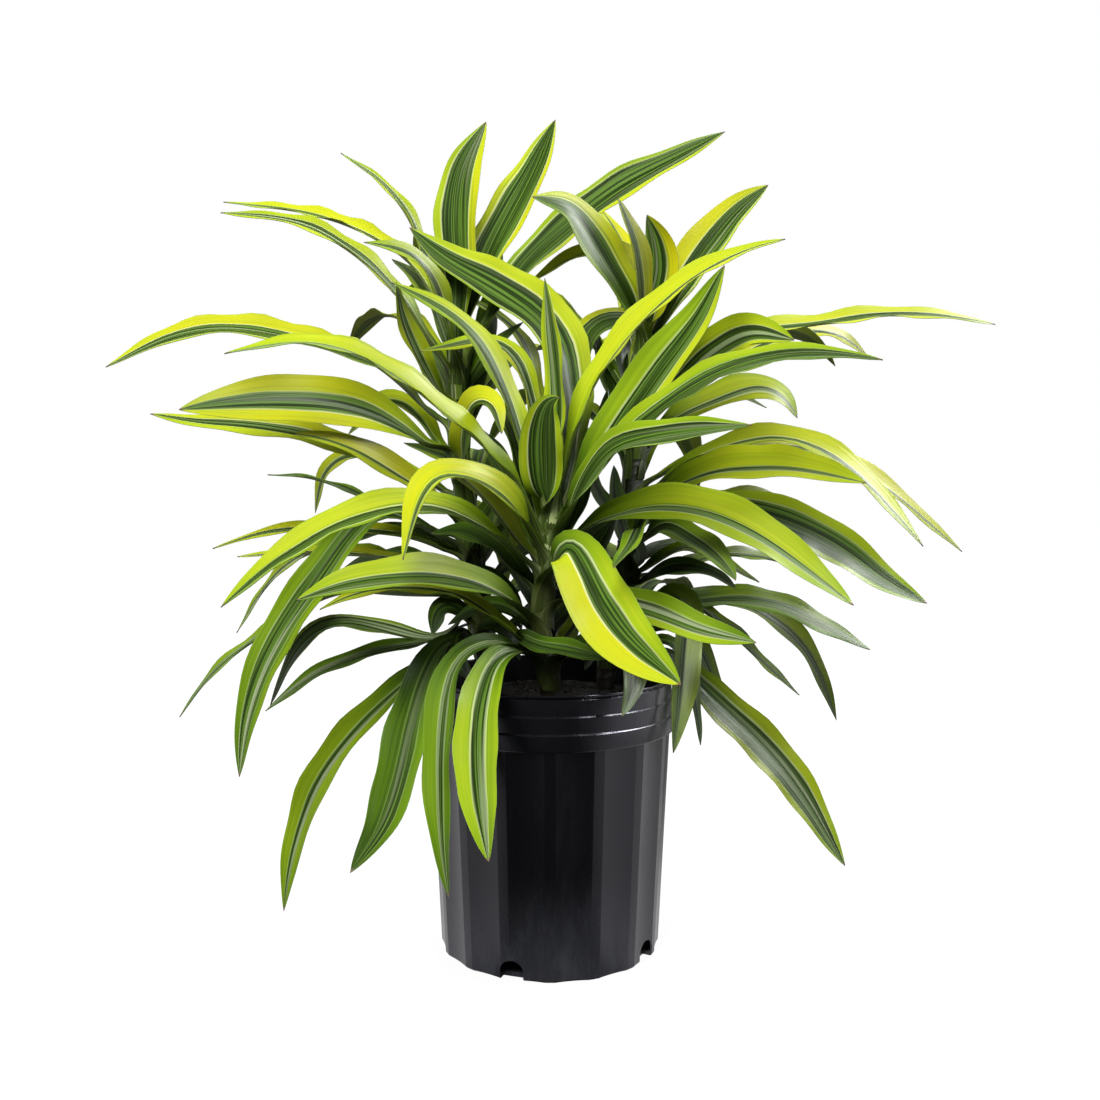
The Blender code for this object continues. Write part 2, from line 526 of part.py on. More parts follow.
def blade_frames(line, face):
    """(point, across, out) for each point of a middle line; `out` is square to the upper face."""
    flat = Vector((line[-1].x - line[0].x, line[-1].y - line[0].y, 0.0))
    away = flat.normalized() if flat.length > CANE_RADIUS * 2 else Vector((0.0, -1.0, 0.0))
    side = UP.cross(away)
    frames = []
    for i, point in enumerate(line):
        along = (line[min(i + 1, len(line) - 1)] - line[max(i - 1, 0)]).normalized()
        across = (side - along * side.dot(along)).normalized()
        frames.append((point, along, across, along.cross(across)))
    turns = [0.0] * len(line)
    if face is not None:
        middle = frames[round(len(frames) * TURN_MIDDLE)]
        turns = [face_turn(frame, face, middle) for frame in frames]
    turned = []
    for i, (point, along, across, out) in enumerate(frames):
        share = smooth_step((i / (len(line) - 1) - TURN_FROM) / TURN_OVER)
        turn = Matrix.Rotation(turns[i] * share, 3, along)
        turned.append((point, turn @ across, turn @ out))
    return turned


def face_turn(frame, face, middle):
    """The turn about the middle line that shows the blade to the front by `face`."""
    point, along, _, out = frame
    seen = STANDPOINT - point
    seen = (seen - along * seen.dot(along)).normalized()
    square = along.cross(seen)
    middle_seen = STANDPOINT - middle[0]
    middle_seen = (middle_seen - middle[1] * middle_seen.dot(middle[1])).normalized()
    way = 1.0 if middle[3].dot(middle[1].cross(middle_seen)) >= 0 else -1.0
    wanted = seen * face + square * way * math.sqrt(1 - face * face)
    return math.atan2(out.cross(wanted).dot(along), out.dot(wanted))


def blade_mesh(frames, width, segments, skin=0.0, first=0.0):
    """Corners and triangles of a folded blade, closed all round, split alike on both faces."""
    corners = []
    for ring in range(segments + 1):
        t = first + (1 - first) * ring / segments
        point, across, out = frames[round(t * (len(frames) - 1))]
        half = width * width_share(t) / 2
        fold = math.radians(FOLD_AT_ROOT_DEG + (FOLD_AT_TIP_DEG - FOLD_AT_ROOT_DEG) * t)
        sinks = half * math.sin(fold) * MIDDLE_SINKS * smooth_step(t / SINKS_OVER)
        for side in (-1, 0, 1):
            thick = (BLADE_EDGE if side else BLADE_MIDDLE) / 2 + skin
            lift = abs(side) * half * math.sin(fold) - sinks
            place = point + across * (side * half * math.cos(fold)) + out * lift
            corners.append(place + out * thick)
            corners.append(place - out * thick)
    faces = []
    for ring in range(segments):
        a, b = ring * 6, ring * 6 + 6
        for left in (0, 2):
            faces += [(a + left, b + left + 2, a + left + 2), (a + left, b + left, b + left + 2)]
            faces += [(a + left + 1, a + left + 3, b + left + 3), (a + left + 1, b + left + 3, b + left + 1)]
        faces += [(a, b + 1, b), (a, a + 1, b + 1)]
        faces += [(a + 4, b + 5, a + 5), (a + 4, b + 4, b + 5)]
    for a, at_tip in ((0, False), (segments * 6, True)):
        for left in (0, 2):
            cap = [(a + left, a + left + 2, a + left + 3), (a + left, a + left + 3, a + left + 1)]
            faces += [tuple(reversed(face)) for face in cap] if at_tip else cap
    return corners, faces


def cane_rings(cane):
    """Rings of corners round a cane's middle line, from its foot to its top."""
    path = [Vector(p) for p in CANE_PATHS[cane]]
    line = [path[0]] + spline_points(path[1:], CANE_RINGS)
    shares = [1.0] * (len(line) - len(CANE_TOP_SHARES)) + list(CANE_TOP_SHARES)
    rings = []
    for point, share in zip(line, shares):
        rings.append([corner + point for corner in round_ring(CANE_RADIUS * share, 0.0, CANE_SIDES)])
    return rings


def tube_mesh(rings):
    """Corners and faces of a closed tube through rings of corners."""
    corners = [corner for ring in rings for corner in ring]
    sides = len(rings[0])
    faces = [tuple(reversed(range(sides)))]
    for low in range(0, len(corners) - sides, sides):
        for side in range(sides):
            after = (side + 1) % sides
            faces.append((low + side, low + after, low + sides + after, low + sides + side))
    faces.append(tuple(range(len(corners) - sides, len(corners))))
    return corners, faces


def ring_angles():
    """The angles at which the pot has corners: two at each strip and one in the middle of each facet."""
    step = 360.0 / FACETS
    strip = CORNER_STRIP_DEG / 2
    angles = []
    for facet in range(FACETS):
        corner = facet * step
        angles += [corner - strip, corner + strip, corner + step / 2]
    return [math.radians(angle - 90.0) for angle in angles]


def ring_at(radius, z, facet_share):
    """A ring of the pot: round where facet_share is 0, flat between its corner strips where it is 1."""
    half_facet = math.radians(360.0 / FACETS - CORNER_STRIP_DEG) / 2
    ring = []
    for i, angle in enumerate(ring_angles()):
        flat = math.cos(half_facet) if i % 3 == 2 else 1.0
        r = radius * (1 + (flat - 1) * facet_share)
        ring.append(Vector((r * math.cos(angle), r * math.sin(angle), z)))
    return ring


def pot_rings():
    """The pot's rings, from the middle of its base, out and up, over the lip and down inside."""
    rings = [ring_at(CENTRE_RING_RADIUS, 0.0, 0), ring_at(POT_BASE_RADIUS - POT_FOOT_BEVEL, 0.0, 1)]
    rings.append(ring_at(POT_BASE_RADIUS, POT_FOOT_BEVEL, 1))
    rings.append(ring_at(POT_NECK_RADIUS, POT_NECK_Z, 1))
    rings += [ring_at(radius, z, 0) for radius, z in RIM_EDGES]
    inside_top = POT_NECK_Z + ROUND_INSIDE_FROM
    rings.append(ring_at(inner_radius(inside_top), inside_top, 1))
    rings.append(ring_at(inner_radius(POT_FLOOR), POT_FLOOR, 1))
    rings.append(ring_at(CENTRE_RING_RADIUS, POT_FLOOR, 0))
    return rings


def inner_radius(z):
    """The inside of the pot's wall at a height."""
    share = min(1.0, z / POT_NECK_Z)
    return POT_BASE_RADIUS + (POT_NECK_RADIUS - POT_BASE_RADIUS) * share - POT_WALL


def round_ring(radius, z, sides):
    ring = []
    for side in range(sides):
        angle = 2 * math.pi * side / sides
        ring.append(Vector((radius * math.cos(angle), radius * math.sin(angle), z)))
    return ring


def soil_rings():
    """The soil's rings: a narrower foot, a side just inside the pot's flats, and a mounded top."""
    flat = math.cos(math.radians(360.0 / FACETS - CORNER_STRIP_DEG) / 2)
    foot = POT_FLOOR + FIT_GAP
    rings = [round_ring(CENTRE_RING_RADIUS, foot, SOIL_SIDES)]
    rings.append(round_ring(SOIL_FOOT_RADIUS, foot, SOIL_SIDES))
    for z in (SOIL_SIDE_FROM, POT_NECK_Z, SOIL_TOP - SOIL_EDGE_DROP):
        radius = inner_radius(z) * flat - FIT_GAP
        rings.append(round_ring(radius, z, SOIL_SIDES))
    for i in range(1, SOIL_RINGS):
        share = 1 - i / SOIL_RINGS
        ring = round_ring(radius * share, SOIL_TOP, SOIL_SIDES)
        for corner, point in enumerate(ring):
            bump = SOIL_BUMP * (-1 if corner % 3 == i % 3 else 1)
            point.z += SOIL_MOUND * (1 - share * share) + bump * share
        rings.append(ring)
    return rings


def make_object(name, corners, faces):
    mesh = bpy.data.meshes.new(name)
    mesh.from_pydata([tuple(corner) for corner in corners], [], faces)
    mesh.validate()
    made = bpy.data.objects.new(name, mesh)
    bpy.context.scene.collection.objects.link(made)
    return made


def apply_modifiers(made):
    """Replaces the object's mesh by what its modifiers make of it."""
    bpy.context.view_layer.update()
    graph = bpy.context.evaluated_depsgraph_get()
    mesh = bpy.data.meshes.new_from_object(made.evaluated_get(graph))
    made.modifiers.clear()
    made.data = mesh


def boolean(made, others, operation, solver="EXACT"):
    """Joins `others` to an object, or cuts them from it, in one step, and removes them."""
    group = bpy.data.collections.new(made.name + "_" + operation.lower())
    bpy.context.scene.collection.children.link(group)
    for other in others:
        bpy.context.scene.collection.objects.unlink(other)
        group.objects.link(other)
    step = made.modifiers.new(operation.lower(), "BOOLEAN")
    step.operation = operation
    step.operand_type = "COLLECTION"
    step.collection = group
    step.solver = solver
    apply_modifiers(made)
    for other in others:
        bpy.data.objects.remove(other)
    bpy.data.collections.remove(group)


def keep_main_body(made):
    """Fills the hollows that joining sealed and drops loose scraps: only the largest shell stays."""
    shell = bmesh.new()
    shell.from_mesh(made.data)
    left = set(shell.verts)
    bodies = []
    while left:
        found = {left.pop()}
        edge = list(found)
        while edge:
            corner = edge.pop()
            for link in corner.link_edges:
                other = link.other_vert(corner)
                if other in left:
                    left.remove(other)
                    found.add(other)
                    edge.append(other)
        bodies.append(found)
    bodies.sort(key=len)
    for body in bodies[:-1]:
        bmesh.ops.delete(shell, geom=list(body), context="VERTS")
    shell.to_mesh(made.data)
    shell.free()


def give_material(made, name, colour, roughness):
    material = bpy.data.materials.new(name)
    material.use_nodes = True
    shader = material.node_tree.nodes["Principled BSDF"]
    shader.inputs["Base Color"].default_value = (*colour, 1.0)
    shader.inputs["Roughness"].default_value = roughness
    shader.inputs["Metallic"].default_value = 0.0
    made.data.materials.clear()
    made.data.materials.append(material)


def smooth(made, angle_deg):
    made.data.shade_smooth()
    made.data.set_sharp_from_angle(angle=math.radians(angle_deg))


def notch_cutter(azimuth_deg):
    """A block with a round top, standing across the pot's wall at its foot."""
    half = NOTCH_WIDTH / 2
    outline = [(-half, -CUT_PAST), (half, -CUT_PAST), (half, NOTCH_HEIGHT - half)]
    for step in range(1, NOTCH_ROUND_STEPS):
        angle = math.pi * step / NOTCH_ROUND_STEPS
        outline.append((half * math.cos(angle), NOTCH_HEIGHT - half + half * math.sin(angle)))
    outline.append((-half, NOTCH_HEIGHT - half))
    turn = Matrix.Rotation(math.radians(azimuth_deg), 3, "Z")
    rings = []
    for distance in (POT_BASE_RADIUS - CUT_PAST, POT_BASE_RADIUS + CUT_PAST):
        rings.append([turn @ Vector((x, -distance, z)) for x, z in outline])
    cutter = make_object("notch_cutter", *tube_mesh(rings))
    cutter.hide_render = True
    cutter.display_type = "WIRE"
    return cutter


def make_pot():
    pot = make_object("pot", *tube_mesh(pot_rings()))
    boolean(pot, [notch_cutter(azimuth) for azimuth in NOTCH_AZIMUTHS_DEG], "DIFFERENCE")
    smooth(pot, POT_SHARP_DEG)
    give_material(pot, "pot_plastic", POT_COLOUR, POT_ROUGHNESS)


def hole_cutter(cane):
    """A round bar that leaves a plain hole for a cane's foot."""
    foot = Vector(CANE_PATHS[cane][0])
    radius = CANE_RADIUS + FIT_GAP
    rings = []
    for z in (CANE_FOOT_Z - FIT_GAP, SOIL_TOP + SOIL_MOUND + CUT_PAST):
        rings.append([corner + Vector((foot.x, foot.y, 0)) for corner in round_ring(radius, z, CANE_SIDES)])
    cutter = make_object("hole_cutter", *tube_mesh(rings))
    cutter.hide_render = True
    cutter.display_type = "WIRE"
    return cutter


def make_soil():
    soil = make_object("soil", *tube_mesh(soil_rings()))
    boolean(soil, [hole_cutter(cane) for cane in CANE_PATHS], "DIFFERENCE")
    smooth(soil, SOIL_SHARP_DEG)
    give_material(soil, "soil_mix", SOIL_COLOUR, SOIL_ROUGHNESS)


def tree_of(corners, faces):
    return BVHTree.FromPolygons([tuple(corner) for corner in corners], faces)


def leaf_trees(frames, width, segments):
    whole = tree_of(*blade_mesh(frames, width, segments, CLEAR_SKIN))
    outer = tree_of(*blade_mesh(frames, width, segments, CLEAR_SKIN, JOINED_SHARE))
    return whole, outer


def settle(make_frames, cane, width, segments, first_way, placed):
    """The frames of a leaf, bent as little as clears it of the leaves already placed, and whether
    it is clear. It is bent one way first, and then the other."""
    best = None
    shifts = [CLEAR_STEP * step * first_way for step in range(CLEAR_TRIES)]
    shifts += [-shift for shift in shifts[1:]]
    for shift in shifts:
        frames = make_frames(shift)
        whole, outer = leaf_trees(frames, width, segments)
        count = 0
        for other_cane, other_whole, other_outer in placed:
            if other_cane == cane:
                count += len(outer.overlap(other_outer))
            else:
                count += len(whole.overlap(other_whole))
        if best is None or count < best[0]:
            best = (count, frames, whole, outer)
        if count == 0:
            break
    placed.append((cane, best[2], best[3]))
    return best[1], best[0] == 0


def segments_for(frames):
    """How many lengths a blade is made of: more for a longer one."""
    length = sum((b[0] - a[0]).length for a, b in zip(frames, frames[1:]))
    return min(BLADE_MOST_SEGMENTS, max(BLADE_LEAST_SEGMENTS, round(length / BLADE_SEGMENT_LENGTH)))


def all_leaves():
    """(cane, frames, width, segments) of every leaf, each clear of those before it."""
    placed = [("pot", tree_of(*tube_mesh(pot_rings())), None)]
    placed.append(("pot", tree_of(*tube_mesh(soil_rings())), None))
    for cane in CANE_PATHS:
        tube = tree_of(*tube_mesh(cane_rings(cane)))
        placed.append((cane, tube, tree_of(FAR_BELOW, [(0, 1, 2)])))
    leaves = []
    for leaf in LEAVES:
        width = leaf.width * CM
        root_depth = cane_point(leaf.cane, leaf.root * CM).y
        first_way = 1 if leaf.depth * CM > root_depth else -1
        segments = segments_for(blade_frames(front_leaf_line(leaf, 0.0), None))
        frames, _ = settle(
            lambda shift: blade_frames(front_leaf_line(leaf, shift), leaf.face),
            leaf.cane, width, segments, first_way, placed,
        )
        leaves.append((leaf.cane, frames, width, segments))
    draw = random.Random(RANDOM_SEED)
    for row in BACK_ROWS:
        for i in range(row.count):
            share = i / (row.count - 1)
            turn = (i * GOLDEN_ANGLE_DEG / 360.0) % 1.0
            azimuth = math.radians(row.first_deg + (row.last_deg - row.first_deg) * turn)
            length = BACK_LENGTH * draw.uniform(*BACK_LENGTH_DRAW)
            width = BACK_WIDTH * draw.uniform(*BACK_WIDTH_DRAW)
            differs = draw.uniform(-BACK_RISE_DRAW, BACK_RISE_DRAW)
            rise = math.radians(between(BACK_RISE_DEG, share) + differs)
            differs = draw.uniform(-BACK_FALL_DRAW, BACK_FALL_DRAW)
            fall = math.radians(between(BACK_FALL_DEG, share) + differs)
            root = cane_point(row.cane, row.low + (row.high - row.low) * share)
            segments = round(length / BLADE_SEGMENT_LENGTH)
            frames, clear = settle(
                lambda shift: back_leaf_frames(root, azimuth + shift * BACK_TURN, length, rise, fall),
                row.cane, width, segments, 1, placed,
            )
            if clear:
                leaves.append((row.cane, frames, width, segments))
            else:
                placed.pop()
    return leaves


def make_leafy_canes():
    leaves = all_leaves()
    for cane in CANE_PATHS:
        made = make_object("leafy_cane_" + cane, *tube_mesh(cane_rings(cane)))
        blades = []
        for leaf_cane, frames, width, segments in leaves:
            if leaf_cane == cane:
                blades.append(make_object("blade", *blade_mesh(frames, width, segments)))
        boolean(made, blades, "UNION", "MANIFOLD")
        keep_main_body(made)
        smooth(made, LEAF_SHARP_DEG)
        give_material(made, "leaf_" + cane, LEAF_COLOUR, LEAF_ROUGHNESS)


def main():
    for old in list(bpy.data.objects):
        bpy.data.objects.remove(old)
    make_pot()
    make_soil()
    make_leafy_canes()


main()
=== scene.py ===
"""The looks of a lemon lime dracaena in a grower's pot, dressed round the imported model.

Each cane gets its own striped, waxy leaves whose bases clasp it, and a ringed stem. The pot gets its
fluted body and banded rim, and the soil its crumbs and bark.
"""

import math
import random
from collections import namedtuple

import bmesh
import bpy
from mathutils import Matrix, Vector, noise
from mathutils.bvhtree import BVHTree


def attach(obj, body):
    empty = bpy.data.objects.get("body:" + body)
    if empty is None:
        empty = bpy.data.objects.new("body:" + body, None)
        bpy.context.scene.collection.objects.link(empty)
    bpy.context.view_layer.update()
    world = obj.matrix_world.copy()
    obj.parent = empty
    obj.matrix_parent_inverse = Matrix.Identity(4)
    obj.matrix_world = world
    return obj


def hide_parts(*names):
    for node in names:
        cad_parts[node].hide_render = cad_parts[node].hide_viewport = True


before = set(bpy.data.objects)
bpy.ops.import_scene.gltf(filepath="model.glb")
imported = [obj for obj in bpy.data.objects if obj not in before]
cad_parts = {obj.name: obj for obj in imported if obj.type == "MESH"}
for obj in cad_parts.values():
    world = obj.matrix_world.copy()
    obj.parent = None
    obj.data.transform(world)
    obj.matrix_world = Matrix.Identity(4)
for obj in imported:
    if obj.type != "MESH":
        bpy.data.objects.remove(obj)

CM = 0.01
UP = Vector((0.0, 0.0, 1.0))
FORWARD = Vector((0.0, -1.0, 0.0))
# Shorter spans count as this long, so that nothing is divided by nought
SHORTEST_SPAN = 1e-6

# The pot, as in the model: a round rim over a body of facets
POT_HEIGHT = 0.268
POT_BASE_RADIUS = 0.1076
POT_NECK_RADIUS = 0.1180
BODY_RADII = (POT_BASE_RADIUS, POT_NECK_RADIUS)
POT_NECK_Z = 0.2160
POT_WALL = 0.0020
POT_FLOOR = 0.0040
POT_FOOT_BEVEL = 0.0016
# The walls inside are round above this height over the neck, and step in by so much below it
ROUND_INSIDE_FROM = 0.004
INSIDE_STEP = 0.0006
FACETS = 16
CORNER_STRIP_DEG = 5.0
CENTRE_RING_RADIUS = 0.030
# Radius and height of each edge of the rim, from the neck up to the lip
RIM_EDGES = (
    (0.1214, 0.2166),
    (0.1224, 0.2178),
    (0.1220, 0.2318),
    (0.1208, 0.2331),
    (0.1205, 0.2476),
    (0.1195, 0.2489),
    (0.1191, 0.2637),
    (0.1174, 0.2645),
    (0.1189, 0.2657),
    (0.1190, 0.2672),
    (0.1180, POT_HEIGHT),
    (0.1167, 0.2672),
)
NOTCH_WIDTH = 0.022
NOTCH_HEIGHT = 0.0190
NOTCH_AZIMUTHS_DEG = (-19.5, 60.0, 157.0, 247.0)
NOTCH_ROUND_STEPS = 16
CUT_PAST = 0.010
# What the looks add to it: how hollow each facet is, how finely it is built, and its rounded edges
FLUTE_DEPTH = 0.0011
FLUTE_STEPS = 8
BODY_ROWS = 14
EDGE_ROUND = 0.0005
EDGE_STEPS = 3
# A rounded edge takes at most this share of the faces beside it
EDGE_ROUND_SHARE = 0.45
# Inside, the facets are this hollow, and a facet is quite flat where its hollow times the next is 1
INSIDE_HOLLOW = 0.1
FLAT_BY_HOLLOW = 9.0
# Edges sharper than this stay sharp, in degrees
POT_SHARP_DEG = 40.0
SOIL_SHARP_DEG = 70.0
CANE_SHARP_DEG = 60.0
LEAF_SHARP_DEG = 55.0

# The soil
FIT_GAP = 0.0003
SOIL_TOP = 0.243
# Its top is higher than that by the mound in the middle, and lower by the drop at the pot's wall
SOIL_MOUND = 0.006
SOIL_EDGE_DROP = 0.003
SOIL_FOOT_RADIUS = 0.080
SOIL_SIDE_FROM = 0.024
SOIL_TOP_RINGS = 46
SOIL_SIDES = 150
# Its radius below its top, as a share of the pot's inside
SOIL_SIDE_SHARE = 0.985
# How rough its top is, and the lumps that make it so: cells in a metre, seed, and share of the height
SOIL_ROUGHNESS = 0.0022
SOIL_LUMPS = ((45.0, 3.0, 1.0), (130.0, 7.0, 0.6), (420.0, 1.0, 0.35))
# The bark: lengths and a share of them, widths and thicknesses as shares of the length, tilt in radians
BARK_CHIPS = 420
CHIP_LENGTHS = (0.003, 0.012)
CHIP_SHORTER = (0.5, 1.0)
CHIP_WIDTHS = (0.16, 0.36)
CHIP_THICKNESSES = (0.07, 0.2)
CHIP_TILT = 0.35
# How much of its length a chip keeps clear of a cane, and of its thickness it lies above the soil
CHIP_CLEAR = 0.6
CHIP_LIFT = 0.4
CHIP_ROUGHNESS = 0.35
CHIP_LUMP_CELLS = 1.7
CHIP_SEEDS = 40.0

# The canes
CANE_FOOT_Z = 0.185
CANE_RADIUS = 0.0095
CANE_PATHS = {
    "front": (
        (0.000, -0.030, CANE_FOOT_Z),
        (0.000, -0.030, 0.255),
        (-0.008, -0.034, 0.330),
        (0.001, -0.040, 0.400),
        (0.002, -0.042, 0.450),
    ),
    "left": (
        (-0.060, 0.030, CANE_FOOT_Z),
        (-0.060, 0.030, 0.255),
        (-0.078, 0.040, 0.380),
        (-0.092, 0.048, 0.480),
        (-0.093, 0.052, 0.600),
    ),
    "right": (
        (0.056, 0.034, CANE_FOOT_Z),
        (0.056, 0.034, 0.255),
        (0.076, 0.046, 0.380),
        (0.086, 0.054, 0.470),
        (0.092, 0.058, 0.590),
    ),
}
CANE_SIDES = 28
CANE_RING_STEP = 0.0012
# The model's own canes are coarser, and their top rings have these shares of the radius
PLAIN_CANE_SIDES = 10
PLAIN_CANE_RINGS = 9
PLAIN_CANE_TOP = (0.9, 0.75, 0.35)
# A leaf's scar comes every so often up the cane, and stands out by so much
SCAR_STEP = 0.0085
SCAR_HEIGHT = 0.0007
SCAR_WIDTH = 0.12
CANE_TOP_TAPER = 0.05
CANE_TOP_SHARE = 0.3
# How far the scars wander and how high the grain is, each with its cells round the cane and up a metre
SCAR_WANDER = 0.003
SCAR_WANDER_CELLS = (1.5, 60.0)
CANE_GRAIN = 0.0003
CANE_GRAIN_CELLS = (5.0, 160.0)

# The leaves
BLADE_MIDDLE = 0.0014
BLADE_EDGE = 0.0008
BLADE_SEGMENT_LENGTH = 0.085
BLADE_LEAST_SEGMENTS = 4
BLADE_MOST_SEGMENTS = 6
BLADE_SAMPLES = 42
SPLINE_STEPS = 12
# A blade's width at its root and its tip, as shares of the greatest, and where and how it swells
ROOT_SHARE = 0.30
WIDEST_AT = 0.55
TIP_SHARE = 0.05
ROOT_CURVE = 1.5
TIP_CURVE = 0.85
# How far its halves fold up at its root and at its tip
FOLD_DEG = (34.0, 9.0)
# Past its base, the blade's middle sinks below its line by this share of the height of its edges
MIDDLE_SINKS = 0.5
SINKS_OVER = 0.30
FOLD_CURVE = 1.4
# A blade turns its face to the front along this stretch, as shares of its length
TURN_FROM = 0.04
TURN_OVER = 0.30
TURN_MIDDLE = 0.55
# How finely a blade is built, and how much closer its stations lie at its root and tip
FINE_STATIONS = 46
FINE_COLUMNS = 14
END_CROWDING = 0.70
EASE_PASSES = 6
FINE_EDGE = 0.0005
# The gentle waves of its edges, and the groove along its middle
WAVE_HEIGHT = 0.0024
WAVE_LENGTHS = (0.055, 0.105)
GROOVE_DEPTH = 0.0006
GROOVE_WIDTH = 0.10
# Its base clasps the cane: how far round, how far below the root, how far off the cane's skin at the
# root and for each metre further, and from where and over what length it lets go
CLASP_HALF_DEG = 105.0
CLASP_DROP = 0.012
CLASP_SKIN = (0.0005, 0.0014)
CLASP_FLARE = 0.10
CLASP_FROM = 0.006
CLASP_OVER = 0.030
# Over this share of its length its band widens towards the base, by a share of the way to a half width
BAND_WIDENS_OVER = 0.30
BASE_BAND = 0.78
BASE_BAND_SHARE = 0.8
# The values that its corners carry to its material, in threes
LEAF_VALUES = ("blade", "band", "tone", "tip")
LEAF_SEEDS = 50.0
# Where the leaves' places were taken from, standing in front of the plant: the camera stands there too
STANDPOINT = Vector((0.0, -1.20, 0.476))
CAMERA_TILT_DOWN_DEG = 4.12
CAMERA_LENS_MM = 40.25
SENSOR_MM = 36.0

# A leaf: its cane, the height of its root in cm, the points it passes in cm (across and up, as they
# appear on the upright plane through the pot's axis), how far behind that plane its tip lies in cm,
# its width in cm, and how squarely its upper face turns to the front, from -1 to 1. Then its colours:
# how yellow its right and its left margin are, seen from root to tip with its face up, from deep green
# at 0 to lemon at 1; where its dark band starts and ends, from -1 at its right edge to 1 at its left;
# and how silvery the band is, its pale streaks partly real and partly a painted sheen.
Leaf = namedtuple("Leaf", "cane root path depth width face right left low high silver")
# The colours of the leaves that fill the middle of the plant, darkened to deep green as painted shade
SHADED = (0.05, 0.05, -0.55, 0.55, 0.05)
SHADED_NARROW = (0.05, 0.05, -0.5, 0.5, 0.05)

